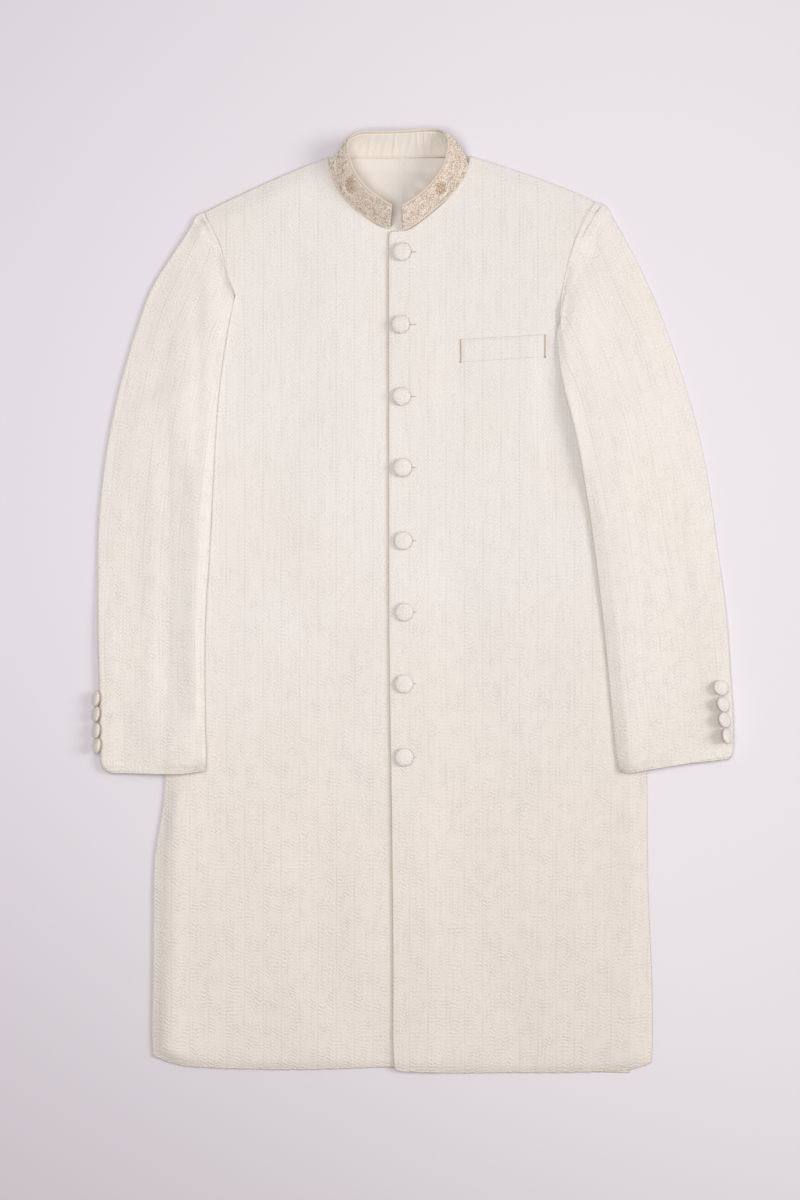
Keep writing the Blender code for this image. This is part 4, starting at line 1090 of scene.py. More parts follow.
def make_pocket_welt(material, thread):
    """A flat strip sewn on the left front, tacked at its corners."""
    low_in, low_out, high_out, high_in = [np.array(corner) for corner in WELT_CORNERS]
    width, height = np.linalg.norm(low_out - low_in), np.linalg.norm(high_in - low_in)
    across = shares(width, WELT_STEP)[None, :, None]
    up = shares(height, WELT_STEP)[:, None, None]
    plan = (1 - up) * ((1 - across) * low_in + across * low_out)
    plan = plan + up * ((1 - across) * high_in + across * high_out)
    x, y = plan[..., 0], plan[..., 1]
    corners = [low_in, low_out, high_out, high_in, low_in]
    sides = [np.array(pair) for pair in zip(corners, corners[1:])]
    edge = outline_distance(sides, plan)
    # Painted shade round the welt's edges, as the edge share
    tint = np.min([distance_to(side, x, y) * share for side, share in zip(sides, WELT_TINTS)], axis=0)
    bed = front_surface("left", x, y) + WELT_CLEAR
    puff = (WELT_WALL + WELT_PUFF - WELT_THIN) * smoothstep(0.0, WELT_PUFF_REACH, edge)
    top, under = pinched(bed + WELT_THIN + puff, bed, roundness(edge, WELT_THIN))
    outer = np.dstack([x, y, top])
    piece = add_shell("pocket_welt", outer, np.dstack([x, y, under]), material, plan * MM, edge_share(tint))
    tacks = make_welt_tacks(thread)
    finish_piece(piece, "pocket_welt", outer, with_pieces=[tacks])


def make_welt_tacks(thread):
    """Close stitches over both ends of the welt, and a knot at each lower corner."""
    starts, ends = [], []
    low_in, low_out, high_out, high_in = [np.array(corner) for corner in WELT_CORNERS]
    for low, high, outwards in ((low_in, high_in, -1.0), (low_out, high_out, 1.0)):
        for share in np.linspace(*WELT_STITCH_SPAN, WELT_END_STITCHES):
            place = low + (high - low) * share
            starts.append(place - np.array([outwards * WELT_STITCH_IN, 0.0]))
            ends.append(place + np.array([outwards * WELT_STITCH_OUT, 0.0]))
        for turn in np.linspace(0.0, math.pi, WELT_KNOT_STITCHES, endpoint=False):
            arm = WELT_KNOT_RADIUS * np.array([math.cos(turn), math.sin(turn)])
            starts.append(low - arm)
            ends.append(low + arm)
    tacks = sewn_stitches("welt_stitches", starts, ends, WELT_CLEAR + WELT_WALL * WELT_STITCH_RISE,
                          WELT_STITCH_SIZE, thread)
    return trim(tacks)


# ---- Sleeves ----

# Grid of a sleeve: step along it, points over its top and round each fold, then under it
SLEEVE_STEP = 3.4
TOP_STEPS = 62
FOLD_STEPS = 9
# Painted shade, a tan line along a sleeve's inner fold: shares where it starts and ends, tints of three
# columns
PRESSED_START = {"left": (0.1, 0.25), "right": (0.0, 0.08)}
PRESSED_END = {"left": (0.85, 0.65), "right": (0.45, 0.25)}
FOLD_SHADE_TINTS = {"left": (0.13, 0.075, 0.15), "right": (0.16, 0.115, 0.17)}
PRESSED_LEAST = 0.05
WRAP_STEPS = 3
UNDER_STEPS = 26


def between_folds(ends, value):
    """1 between two shares of a sleeve's width, fading to 0 at both folds."""
    return smoothstep(0.0, ends[0], value) * smoothstep(1.0, ends[1], value)


def press_share(side, share, across, width):
    """Share of its thickness that a sleeve keeps at each distance from its inner fold."""
    inner = PRESS_SHARE[side] + (1 - PRESS_SHARE[side]) * smoothstep(0.0, PRESS_REACH[side], across)
    start = smoothstep(*OUTER_PRESS_START, share) * (1 - smoothstep(HEAD_THIN, 1.0, share))
    return inner - (1 - OUTER_PRESS_SHARE) * start * smoothstep(OUTER_PRESS_REACH, 0.0, width - across)


def sleeve_seat(side, x, y, across, bed):
    """Height of what carries a sleeve: its bed, low at the inner fold, lifted and sunk in places."""
    middle, spread, rise, reach = EDGE_LIFTS[side]
    lift = rise * np.exp(-((y - middle) / spread) ** 2) * smoothstep(reach, 0.0, across)
    low, low_end, high_end, high = SIDE_DIP_ENDS
    dip = SIDE_DIP[side] * smoothstep(low, low_end, y) * smoothstep(high, high_end, y)
    past = body_side(side, y) - np.abs(x) - SIDE_DIP_PLACE
    dip = dip * np.exp(-(past / np.where(past < 0, *SIDE_DIP_WIDTHS)) ** 2)
    low_edge = (SLEEVE_LIFT - PRESS_SEAT) * smoothstep(PRESS_REACH[side], 0.0, across)
    return bed - low_edge + lift - dip * smoothstep(0.0, SIDE_DIP_BED, bed)


def sleeve_surface(side, share, around, inset):
    """Points of a sleeve. share is each ring's place up the sleeve, around lists (kind, value), an angle on
    the inner or the outer fold or a share of the width along the top or the bottom, and inset is how deep
    the surface lies in the wall."""
    share = share[:, None]
    kind = np.array([name for name, _ in around])
    value = np.array([number for _, number in around])
    inner, outer = sleeve_edges(side, share)
    width = np.hypot(outer[..., 0] - inner[..., 0], outer[..., 1] - inner[..., 1])
    head = smoothstep(HEAD_THIN, 1.0, share)
    cuff = 1.0 - smoothstep(*CUFF_SWELL, share)
    radius = SLEEVE_FOLD_RADIUS + (CUFF_FOLD_RADIUS - SLEEVE_FOLD_RADIUS) * cuff
    radius = radius + (HEAD_FOLD_RADIUS - radius) * head
    wall = np.minimum(inset * (1.0 + (CUFF_WALL / SLEEVE_WALL - 1.0) * cuff), radius - LEAST_INSIDE)
    reach = radius - (radius - wall) * np.cos(value)
    flat = radius + (width - 2 * radius) * value
    across = np.where(kind == "inner", reach, np.where(kind == "outer", width - reach, flat))
    on_fold = (kind == "inner") | (kind == "outer")
    upper = np.where(kind == "top", radius - wall, wall - radius)
    rise = np.where(on_fold, (radius - wall) * np.sin(value), upper)
    plan = sleeve_plan(side, share, across / width)
    inside = sleeve_plan(side, share, np.clip(across, radius, width - radius) / width)
    x, y = plan[..., 0], plan[..., 1]
    bed = sleeve_bed(side, inside[..., 0], inside[..., 1])
    spanned = sleeve_bed(side, inside[..., 0], inside[..., 1], SPAN_DROP, SPAN_EARLY)
    height = radius + rise
    raised = height + (spanned - bed) * between_folds(SPAN_ENDS, value)
    raised = raised + SLEEVE_SWELL * (1 - head) * np.sin(math.pi * value) + fold_height(SLEEVE_FOLDS, x, y)
    calm = between_folds(CREASE_ENDS, value) * (1 - head)
    raised = raised + calm * (fold_height(SLEEVE_CREASES, x, y) + soft_waves(x, y))
    pressed = press_share(side, share, across, width)
    seat = sleeve_seat(side, x, y, across, bed)
    raised, height = seat + raised * pressed, seat + height * pressed
    seam = smoothstep(HEAD_SEAM, 1.0, share) * between_folds(HEAD_SEAM_ENDS, value)
    raised = raised + (front_top(side, x, y) + SEAM_STEP - wall - raised) * seam
    return np.dstack([x, y, np.where(kind == "top", raised, height)])


def sleeve_grids(side, around):
    """Each ring's place up the sleeve, outer and inner points, and distance from the cuff's edge as the
    painted edge shade takes it."""
    length = line_length(OUTER_FOLD[side])
    share = shares(length, SLEEVE_STEP)
    round_share = np.minimum(roundness(share * length), roundness((1 - share) * length, SEAM_RADIUS))
    half = SLEEVE_WALL / 2 * (1 - round_share)[:, None]
    outer = sleeve_surface(side, share, around, half)
    inner = sleeve_surface(side, share, around, SLEEVE_WALL - half)
    return share, outer, inner, np.broadcast_to(share[:, None] * length * HEM_PALER, outer.shape[:2])


def sleeve_flat(side, share, outer):
    """Place on the flat cloth: across the sleeve from its middle line, and up along that line."""
    inner_end, outer_end = sleeve_edges(side, share)
    middle = (inner_end + outer_end) / 2
    heading = unit(np.gradient(middle, axis=0))
    ahead = ((outer[..., :2] - middle[:, None]) * heading[:, None]).sum(axis=2)
    step = np.diff(outer, axis=1)
    forward = (step[..., :2] * heading[:, None]).sum(axis=2)
    sideways = np.sqrt(np.maximum((step ** 2).sum(axis=2) - forward ** 2, 0.0))
    across = np.concatenate([np.zeros((len(share), 1)), np.cumsum(sideways, axis=1)], axis=1)
    across = across - across[:, across.shape[1] // 2][:, None]
    return np.dstack([across, run(middle)[:, None] + ahead]) * MM


def make_sleeve(side, material):
    """The top sleeve wraps both folds; the under sleeve closes it below, open at the armhole."""
    wrap = SLEEVE_WRAP / SLEEVE_WIDTH
    clear = (SLEEVE_WRAP + SEAM_GAP + FACET_GAP) / SLEEVE_WIDTH
    angles = np.linspace(-math.pi / 2, math.pi / 2, FOLD_STEPS)
    tops = 0.5 - 0.5 * np.cos(np.linspace(0.0, math.pi, TOP_STEPS))
    tops = (tops + np.linspace(0.0, 1.0, TOP_STEPS)) / 2
    around = [("bottom", value) for value in np.linspace(wrap, 0.0, WRAP_STEPS, endpoint=False)]
    around += [("inner", angle) for angle in angles] + [("top", value) for value in tops[1:-1]]
    around += [("outer", angle) for angle in angles[::-1]]
    around += [("bottom", value) for value in np.linspace(1 - wrap, 1.0, WRAP_STEPS, endpoint=False)[::-1]]
    share, outer, inner, edge = sleeve_grids(side, around)
    # Painted shade: a tan line down the inner fold, through the edge share of three columns
    pressed = smoothstep(*PRESSED_START[side], share) * smoothstep(*PRESSED_END[side], share)
    middle = WRAP_STEPS + FOLD_STEPS // 2
    edge = np.array(edge)
    for column, tint in enumerate(FOLD_SHADE_TINTS[side], middle):
        wear_and_shade = tint * EDGE_REACH / np.maximum(pressed, PRESSED_LEAST)
        edge[:, column] = np.minimum(edge[:, column], wear_and_shade)
    name = "sleeve_" + side + "_top"
    piece = add_shell(name, outer, inner, material, sleeve_flat(side, share, outer), edge_share(edge))
    finish_piece(piece, name, outer)

    unders = np.linspace(clear, 1 - clear, UNDER_STEPS)
    prong = int(np.abs(unders - UNDER_PRONG).argmin())
    unders[prong] = UNDER_PRONG
    share, outer, inner, edge = sleeve_grids(side, [("bottom", value) for value in unders])
    keep = np.ones((len(share) - 1, UNDER_STEPS - 1), bool)
    keep[outer[:-1, prong, 1] > SIDE[side][-1, 1] - PRONG_DROP, :prong] = False
    name = "sleeve_" + side + "_under"
    piece = add_shell(name, outer, inner, material, sleeve_flat(side, share, outer), edge_share(edge), keep)
    finish_piece(piece, name, outer)


# ---- Collar ----

COLLAR_COLUMNS = 331
COLLAR_ROWS = 26
COLLAR_SHARES = np.linspace(0.0, 1.0, COLLAR_COLUMNS)
# Rolls of cloth over seams: radii across and up, and how far each is moved from its seam
BINDING_RADII = (0.5, 0.42)
SEAM_ROLL_SPAN = (0.3, 0.7)
SEAM_ROLL_RADII = (1.7, 1.1)
SEAM_ROLL_DROP = 1.1
SEAM_ROLL_IN = 0.3
FOOT_ROLL_OUT = 0.5
FOOT_ROLL_DROP = 0.3
FOOT_ROLL_RADII = (0.9, 0.6)
ARMHOLE_STEPS = 90
ARMHOLE_SINK = 0.3
ARMHOLE_RADII = (1.0, 0.45)
# Edge share of the painted shade along the armhole seam
ARMHOLE_TINT = 0.12
ROLL_SIDES = 10


def seam_height(x, y):
    """Height of the collar's seam: on the fronts, and round the back on the back."""
    front = np.where(x > 0, front_top("left", x, y), front_top("right", x, y))
    on_back = smoothstep(*SEAM_TURN_Y, y) * smoothstep(*SEAM_TURN_X, np.abs(x))
    return front * (1 - on_back) + BACK_WALL * on_back + SEAM_GAP + FACET_GAP


def collar_frame(share):
    """The collar's seam, its rise to the top edge and its bulge at each share of its length."""
    station = along(rounded(COLLAR_STATIONS, 4), share)
    seam = np.column_stack([station[:, :2], seam_height(station[:, 0], station[:, 1])])
    return seam, station[:, 2:5] - seam, station[:, 5]


def collar_surface(depth, heights):
    """Points and outward directions over the collar at each height, this deep behind its outside."""
    seam, rise, bulge = collar_frame(COLLAR_SHARES)
    points, outwards = [], []
    for height, set_back in zip(heights, np.broadcast_to(depth, (len(heights), COLLAR_COLUMNS))):
        level = seam + rise * height
        outward = unit(np.cross(rise, np.gradient(level, axis=0)))
        points.append(level + outward * (bulge * math.sin(math.pi * height) - set_back)[:, None])
        outwards.append(outward)
    return np.array(points), np.array(outwards)


def collar_flat(grid):
    """Place on the flat collar in metres: along its seam and up."""
    up = np.concatenate([np.zeros((1, grid.shape[1])),
                         np.cumsum(np.linalg.norm(np.diff(grid, axis=0), axis=2), axis=0)])
    return np.dstack([np.broadcast_to(run(grid[0]), up.shape), up]) * MM


def make_collar(cloth_material, facing_material, seam_material, threads):
    """The stand collar with its embroidery, and the facing inside it with its binding and its seam."""
    heights = shares(COLLAR_SLANT, COLLAR_SLANT / COLLAR_ROWS)
    rounding = COLLAR_WALL / 2 * (1 - roundness((1 - heights) * COLLAR_SLANT))[:, None]
    outer, _ = collar_surface(rounding, heights)
    inner_heights = COLLAR_FOOT + (1 - COLLAR_FOOT) * heights
    inner, _ = collar_surface(COLLAR_WALL - rounding, inner_heights)
    edge = np.full(outer.shape[:2], EDGE_REACH)
    collar = add_shell("collar", outer, inner, cloth_material, collar_flat(outer), edge_share(edge))
    work = make_collar_work(threads) + [make_collar_foot_roll(cloth_material)]
    finish_piece(collar, "collar", outer, with_pieces=work)

    near = COLLAR_WALL + SEAM_GAP
    top = 1 - FACING_DROP
    heights = np.linspace(COLLAR_FOOT + FACING_FOOT[0], top, COLLAR_ROWS)
    wrinkle = facing_wrinkles(COLLAR_SHARES[None, :], heights[:, None])
    outer, _ = collar_surface(near, heights)
    inner_heights = np.linspace(COLLAR_FOOT + FACING_FOOT[1], top, COLLAR_ROWS)
    inner, _ = collar_surface(near + FACING_WALL + wrinkle, inner_heights)
    edge = np.full(outer.shape[:2], EDGE_REACH)
    facing = add_shell("collar_facing", outer, inner, facing_material, collar_flat(outer), edge_share(edge))
    rolls = [make_collar_binding(seam_material), make_collar_seam_roll(seam_material)]
    finish_piece(facing, "collar_facing", inner, with_pieces=rolls)


def facing_wrinkles(share, height):
    """Upright wrinkles on the inside of the collar, uneven and deepest near its middle height."""
    strong = np.sin(math.pi * np.clip(height, 0.0, 1.0)) ** WRINKLE_POWER
    depth = np.zeros(np.broadcast_shapes(share.shape, height.shape))
    for place, lean, width, rise in FACING_WRINKLES:
        depth = depth + rise * np.exp(-((share - place - lean * (height - 0.5)) / width) ** 2)
    return depth * strong * FACING_CREASE_LIFT


def add_roll(name, line, across, upward, radius, material, edge=1.0):
    """A narrow roll of cloth along a line, round or flattened between its two directions."""
    turn = turns(ROLL_SIDES)[None, :, None]
    rings = line[:, None] + np.cos(turn) * across[:, None] * radius[0]
    rings = rings + np.sin(turn) * np.broadcast_to(upward, line.shape)[:, None] * radius[1]
    return trim(add_mesh(name, rings.reshape(-1, 3), tube_faces(*rings.shape[:2]), material,
                         ring_flat(rings), np.full(rings[..., 0].size, edge)))


def level_across(line):
    """Level directions square to a line, towards its right as it runs."""
    return unit(np.cross(np.gradient(line, axis=0), UP))


def make_collar_binding(material):
    """A narrow roll of cloth over the top edge of the collar and its facing."""
    _, rise, _ = collar_frame(COLLAR_SHARES)
    edge, outwards = collar_surface(BINDING_SET, np.array([BINDING_HEIGHT]))
    return add_roll("collar_binding", edge[0], outwards[0], unit(rise), BINDING_RADII, material)


def make_collar_foot_roll(material):
    """The seam where the collar's outside meets the fronts and the back."""
    seam, _, _ = collar_frame(COLLAR_SHARES)
    across = level_across(seam)
    line = seam - across * FOOT_ROLL_OUT - np.multiply(UP, FOOT_ROLL_DROP)
    return add_roll("collar_foot", line, across, UP, FOOT_ROLL_RADII, material)


def make_collar_seam_roll(material):
    """The seam where the facing's foot meets the lining, rolled a little into the neck."""
    foot, _ = collar_surface(COLLAR_WALL + SEAM_GAP + FACING_WALL, np.array([COLLAR_FOOT + FACING_FOOT[1]]))
    low, high = [round(share * (COLLAR_COLUMNS - 1)) for share in SEAM_ROLL_SPAN]
    across = level_across(foot[0][low:high])
    line = foot[0][low:high] + across * SEAM_ROLL_IN - np.multiply(UP, SEAM_ROLL_DROP)
    return add_roll("collar_seam", line, across, UP, SEAM_ROLL_RADII, material)


def make_armhole_roll(side, material):
    """The seam that joins a sleeve's head to its front, pressed flat with a faint rise."""
    plan = along(ARMHOLE[side], np.linspace(0.0, 1.0, ARMHOLE_STEPS))
    plan[:, 0] += SIGN[side] * HEAD_CLEAR / 2
    line = np.column_stack([plan, front_surface(side, *plan.T) - ARMHOLE_SINK])
    return add_roll("armhole_seam_" + side, line, level_across(line), UP, ARMHOLE_RADII, material,
                    ARMHOLE_TINT)


def tube_faces(rings, sides):
    """Faces of a closed tube of rings, with both ends shut."""
    index = np.arange(rings * sides).reshape(rings, sides)
    turned = np.roll(index, -1, axis=1)
    faces = np.stack([index[:-1], index[1:], turned[1:], turned[:-1]], axis=-1).reshape(-1, 4).tolist()
    return faces + [index[0].tolist(), index[-1][::-1].tolist()]


def ring_flat(rings):
    """Place on the flat cloth of a tube: along it and round it, in metres."""
    girth = np.linspace(0.0, line_length(rings[0]), rings.shape[1])
    return np.dstack(np.broadcast_arrays(run(rings[:, 0])[:, None], girth[None, :])).reshape(-1, 2) * MM


# ---- Stitches and beads, joined into one mesh a kind ----

def add_stitches(name, starts, ends, normals, width, height, material, sides=WORKED_STITCH_SIDES):
    """Raised stitches from starts to ends, each a spindle that lies on the cloth."""
    starts, ends, normals = [np.asarray(part, float) for part in (starts, ends, normals)]
    normals = np.broadcast_to(normals, starts.shape)
    axis = ends - starts
    across = unit(np.cross(normals, axis))
    points = [starts]
    width, height = np.broadcast_to(width, len(starts)), np.broadcast_to(height, len(starts))
    for share, size in STITCH_SECTIONS:
        middle = starts + axis * share + normals * (height * STITCH_RISE * size)[:, None]
        for angle in turns(sides):
            points.append(middle + across * (width / 2 * size * math.cos(angle))[:, None]
                          + normals * (height / 2 * size * math.sin(angle))[:, None])
    points.append(ends)
    return add_spindles(name, points, len(STITCH_SECTIONS), sides, material)


def sewn_stitches(name, starts, ends, lift, size, material):
    """Stitches on the left front from their ends' x and y, this far above it at their middles."""
    starts, ends = np.array(starts), np.array(ends)
    height = front_surface("left", *((starts + ends) / 2).T) + lift
    return add_stitches(name, np.column_stack([starts, height]), np.column_stack([ends, height]), UP,
                        *size, material)


def spindle_faces(rings, sides):
    """Faces of a closed body of a tip, some rings and a tip."""
    ring = [[1 + row * sides + side for side in range(sides)] for row in range(rings)]
    last = 1 + rings * sides
    faces = []
    for side in range(sides):
        beside = (side + 1) % sides
        faces.append([0, ring[0][beside], ring[0][side]])
        faces += [[low[side], low[beside], high[beside], high[side]] for low, high in zip(ring, ring[1:])]
        faces.append([last, ring[-1][side], ring[-1][beside]])
    return faces


def add_spindles(name, points, rings, sides, material):
    """One mesh of many closed bodies, from the first point of each, then the second, and so on."""
    cloud = np.stack(points, axis=1)
    faces = spindle_faces(rings, sides)
    placed = [[corner + start for corner in face]
              for start in range(0, cloud.shape[0] * cloud.shape[1], cloud.shape[1]) for face in faces]
    return add_mesh(name, cloud.reshape(-1, 3), placed, material)


def add_beads(name, centres, normals, radius, material):
    """Round beads with their centres given, each turned to face its normal."""
    centres, normals = np.asarray(centres, float), np.asarray(normals, float)
    radius = np.broadcast_to(radius, len(centres))[:, None]
    helper = np.where(np.abs(normals[:, 2:]) > 0.9, [[1.0, 0.0, 0.0]], [[0.0, 0.0, 1.0]])
    across = unit(np.cross(normals, helper))
    along_cloth = np.cross(normals, across)
    points = [centres - normals * radius]
    for tilt in BEAD_TILTS:
        for angle in turns(BEAD_SIDES):
            flat = across * math.cos(angle) + along_cloth * math.sin(angle)
            points.append(centres + radius * (flat * math.cos(tilt) + normals * math.sin(tilt)))
    points.append(centres + normals * radius)
    return add_spindles(name, points, len(BEAD_TILTS), BEAD_SIDES, material)


# ---- Embroidery on the collar ----

class CollarCloth:
    """The collar's outside as flat cloth: places along the seam and up from it, in millimetres."""

    def __init__(self):
        heights = np.linspace(0.0, 1.0, COLLAR_ROWS)
        self.points, self.outwards = collar_surface(0.0, heights)
        seam = self.points[0]
        self.length = line_length(seam)
        self.along = run(seam) / self.length
        self.height = np.linalg.norm(self.points[-1] - self.points[0], axis=1)

    def at(self, place, up, lift):
        """Points this far along, up and off the cloth, and the outward directions there."""
        column = np.interp(np.asarray(place) / self.length, self.along, np.arange(len(self.along)))
        height = np.interp(column, np.arange(len(self.height)), self.height)
        row = np.clip(np.asarray(up) / height, 0.0, 1.0) * (COLLAR_ROWS - 1)
        left, low = np.floor(column).astype(int), np.floor(row).astype(int)
        left, low = np.minimum(left, len(self.along) - 2), np.minimum(low, COLLAR_ROWS - 2)
        s, t = (column - left)[:, None], (row - low)[:, None]
        found = []
        for grid in (self.points, self.outwards):
            below = grid[low, left] * (1 - s) + grid[low, left + 1] * s
            above = grid[low + 1, left] * (1 - s) + grid[low + 1, left + 1] * s
            found.append(below * (1 - t) + above * t)
        return found[0] + found[1] * np.reshape(lift, (-1, 1)), found[1]

    def top(self, place):
        """Height of the collar at this place along it."""
        return float(np.interp(place / self.length, self.along, self.height))


class Work:
    """Stitches and beads that are laid out on flat cloth, gathered by thread."""

    def __init__(self, collar):
        self.collar = collar
        self.stitches = {}
        self.beads = {}

    def stitch(self, thread, start, end, width, height, lift=0.0):
        self.stitches.setdefault(thread, []).append((*start, *end, width, height, lift))

    def bead(self, thread, place, radius):
        self.beads.setdefault(thread, []).append((*place, radius))

    def made(self, threads):
        pieces = []
        for thread, rows in sorted(self.stitches.items()):
            table = np.array(rows)
            starts, out_start = self.collar.at(table[:, 0], table[:, 1], table[:, 6])
            ends, out_end = self.collar.at(table[:, 2], table[:, 3], table[:, 6])
            pieces.append(add_stitches("collar_stitches_" + thread, starts, ends, out_start + out_end,
                                       table[:, 4], table[:, 5], threads[thread], STITCH_SIDES))
        for thread, rows in sorted(self.beads.items()):
            table = np.array(rows)
            radius = table[:, 2]
            centres, outwards = self.collar.at(table[:, 0], table[:, 1], radius * BEAD_SEAT)
            name = "collar_beads_" + thread
            pieces.append(add_beads(name, centres, outwards, radius, threads[thread]))
        return [trim(piece) for piece in pieces]


def polar(place, angle, out):
    """The point this far out from a place at an angle."""
    return place[0] + out * math.cos(angle), place[1] + out * math.sin(angle)


def add_flower(work, place, size, petals, turn):
    """A round flower: two rings of petals in gold, each petal a fan of stitches, and a beaded eye."""
    for ring, (reach, start, thread, lift) in enumerate(FLOWER_RINGS):
        count = petals - PETALS_FEWER * ring
        for petal in range(count):
            angle = turn + 2 * math.pi * (petal + 0.5 * ring) / count
            for side in PETAL_FAN:
                out = size * reach * (1 - FAN_SHORTER * side * side)
                tip = polar(place, angle + side * TIP_FAN / petals, out)
                root = polar(place, angle + side * ROOT_FAN / petals, size * start)
                work.stitch(thread, root, tip, *PETAL_STITCH, lift)
    for reach, count, threads in FLOWER_BEADS:
        for bead in range(count):
            angle = turn + 2 * math.pi * bead / count
            radius = FLOWER_BEAD_RADII[bead % len(FLOWER_BEAD_RADII)]
            work.bead(threads[bead % len(threads)], polar(place, angle, size * reach), radius)
    work.bead("silver", place, FLOWER_EYE)


def add_small_flower(work, place, size, turn):
    """A small cream flower: two stitches a petal, gold beads between the petals and a silver eye."""
    for petal in range(SMALL_PETALS):
        angle = turn + 2 * math.pi * petal / SMALL_PETALS
        for side in SMALL_FAN:
            root = polar(place, angle + side, size * SMALL_ROOT)
            work.stitch("cream", root, polar(place, angle + side, size), *SMALL_STITCH)
        beside = polar(place, angle + math.pi / SMALL_PETALS, size * SMALL_BEAD_PLACE)
        work.bead("gold", beside, SMALL_BEAD)
    work.bead("silver", place, SMALL_EYE)


def add_scroll(work, place, radius, start, sweep, width, thread):
    """A curved leaf of close satin stitches across its line, widest at its middle."""
    count = max(SATIN_LEAST, int(abs(sweep) * radius / SATIN_PITCH))
    for step in range(count + 1):
        share = step / count
        half = width * (SATIN_TAPER + (1 - SATIN_TAPER) * math.sin(math.pi * share)) / 2
        angle = start + sweep * share
        inner = polar(place, angle - SATIN_SLANT, radius - half)
        outer = polar(place, angle + SATIN_SLANT, radius + half)
        work.stitch(thread, inner, outer, *SATIN_STITCH)


def add_arcs(work, middle, arcs):
    """Cream arcs round the middle of a flower."""
    for rise, radius, start, sweep, width in arcs:
        place = (middle[0], middle[1] + rise)
        add_scroll(work, place, radius, start * math.pi, sweep * math.pi, width, "cream")


def add_motifs(work, collar):
    """A repeat of a flower with arcs below it, then a small flower between two sets of arcs."""
    pitch = (collar.length - 2 * MOTIF_START) / (MOTIF_COUNT - 1)
    taken = []
    for number in range(MOTIF_COUNT):
        place = MOTIF_START + pitch * number
        middle = (place, collar.top(place) * MOTIF_HEIGHT)
        add_flower(work, middle, FLOWER_SIZE, FLOWER_PETALS, FLOWER_TURN * number)
        add_arcs(work, middle, SCROLLS)
        taken.append((*middle, FLOWER_SIZE * FLOWER_ROOM))
    for number in range(MOTIF_COUNT + 1):
        place = MOTIF_START + pitch * (number - 0.5)
        small = (place, collar.top(place) * SMALL_HEIGHT)
        add_small_flower(work, small, SMALL_SIZE, SMALL_TURN * number)
        add_arcs(work, small, SMALL_SCROLLS)
        taken.append((*small, SMALL_SIZE * SMALL_ROOM))
    return taken


def add_borders(work, collar):
    """Rows of beads along both edges of the collar."""
    for up, pitch, radius, thread in BEAD_ROWS:
        for number in range(int(collar.length / pitch)):
            place = (number + 0.5) * pitch
            height = up if up > 0 else collar.top(place) + up
            work.bead(thread, (place, height), radius)


def add_ground(work, collar, taken):
    """Beads and short stitches strewn over the cloth between the motifs, with bare spots."""
    draw = np.random.default_rng(GROUND_SEED)
    for row in range(int(collar.height.max() / GROUND_PITCH)):
        for column in range(int(collar.length / GROUND_PITCH)):
            shift, pick = draw.uniform(-GROUND_STRAY, GROUND_STRAY, 4), draw.uniform(0.0, 1.0, 2)
            place = (column + 0.5 + 0.5 * (row % 2) + shift[0]) * GROUND_PITCH
            up = (row + 0.5 + shift[1]) * GROUND_PITCH
            if not GROUND_LOW < up < collar.top(place) - GROUND_TOP or place > collar.length:
                continue
            if pick[0] < GROUND_GAPS or any(math.hypot(place - x, up - y) < size for x, y, size in taken):
                continue
            if pick[0] < GROUND_BEAD:
                bead = GROUND_BEADS[int(pick[1] * len(GROUND_BEADS))]
                work.bead(bead, (place, up), GROUND_BEAD_RADIUS + GROUND_BEAD_SPREAD * shift[2])
                continue
            angle = math.pi * pick[1] + GROUND_SWAY * math.sin(place / GROUND_SWAY_LENGTH)
            reach = GROUND_STITCH * (1 + GROUND_STITCH_SPREAD * shift[3])
            thread = GROUND_THREADS[int(pick[1] * len(GROUND_THREADS))]
            start, end = [polar((place, up), angle, out) for out in (-reach, reach)]
            work.stitch(thread, start, end, *GROUND_STITCH_SIZE)


def make_collar_work(threads):
    """All of the collar's embroidery, as one mesh for each thread's stitches and beads."""
    collar = CollarCloth()
    work = Work(collar)
    taken = add_motifs(work, collar)
    add_borders(work, collar)
    add_ground(work, collar, taken)
    return work.made(threads)


# ---- Buttons and buttonholes ----

BUTTON_RINGS = 20
BUTTON_SIDES = 72


def button_shape(radius, height, seed):
    """Rings of a domed button covered in gathered cloth, with its back at z = 0."""
    draw = np.random.default_rng(seed)
    profile = along(rounded(BUTTON_PROFILE, 8), np.linspace(0.0, 1.0, BUTTON_RINGS))
    turn = turns(BUTTON_SIDES)
    pleats = sum(draw.uniform(*PLEAT_STRENGTHS) * np.cos(count * turn + draw.uniform(*PLEAT_SHIFTS))
                 for count in PLEAT_COUNTS) / len(PLEAT_COUNTS)
    points = [np.zeros((1, 3))]
    for out, up in profile:
        gather = PLEAT_DEPTH * pleats * smoothstep(GATHER_START, 1.0, out)
        ring = radius * out + gather * (1 - PLEAT_TOP * up)
        points.append(np.column_stack([ring * np.cos(turn), ring * np.sin(turn),
                                       height * up + PLEAT_LIFT * gather]))
    points.append(np.array([[0.0, 0.0, height]]))
    return np.concatenate(points)


def tilt(points, lean, nod):
    """Leans points over towards +x and then nods them towards +y, in degrees."""
    a, b = math.radians(lean), math.radians(nod)
    x = points[:, 0] * math.cos(a) + points[:, 2] * math.sin(a)
    z = points[:, 2] * math.cos(a) - points[:, 0] * math.sin(a)
    return np.stack([x, points[:, 1] * math.cos(b) + z * math.sin(b),
                     z * math.cos(b) - points[:, 1] * math.sin(b)], axis=1)


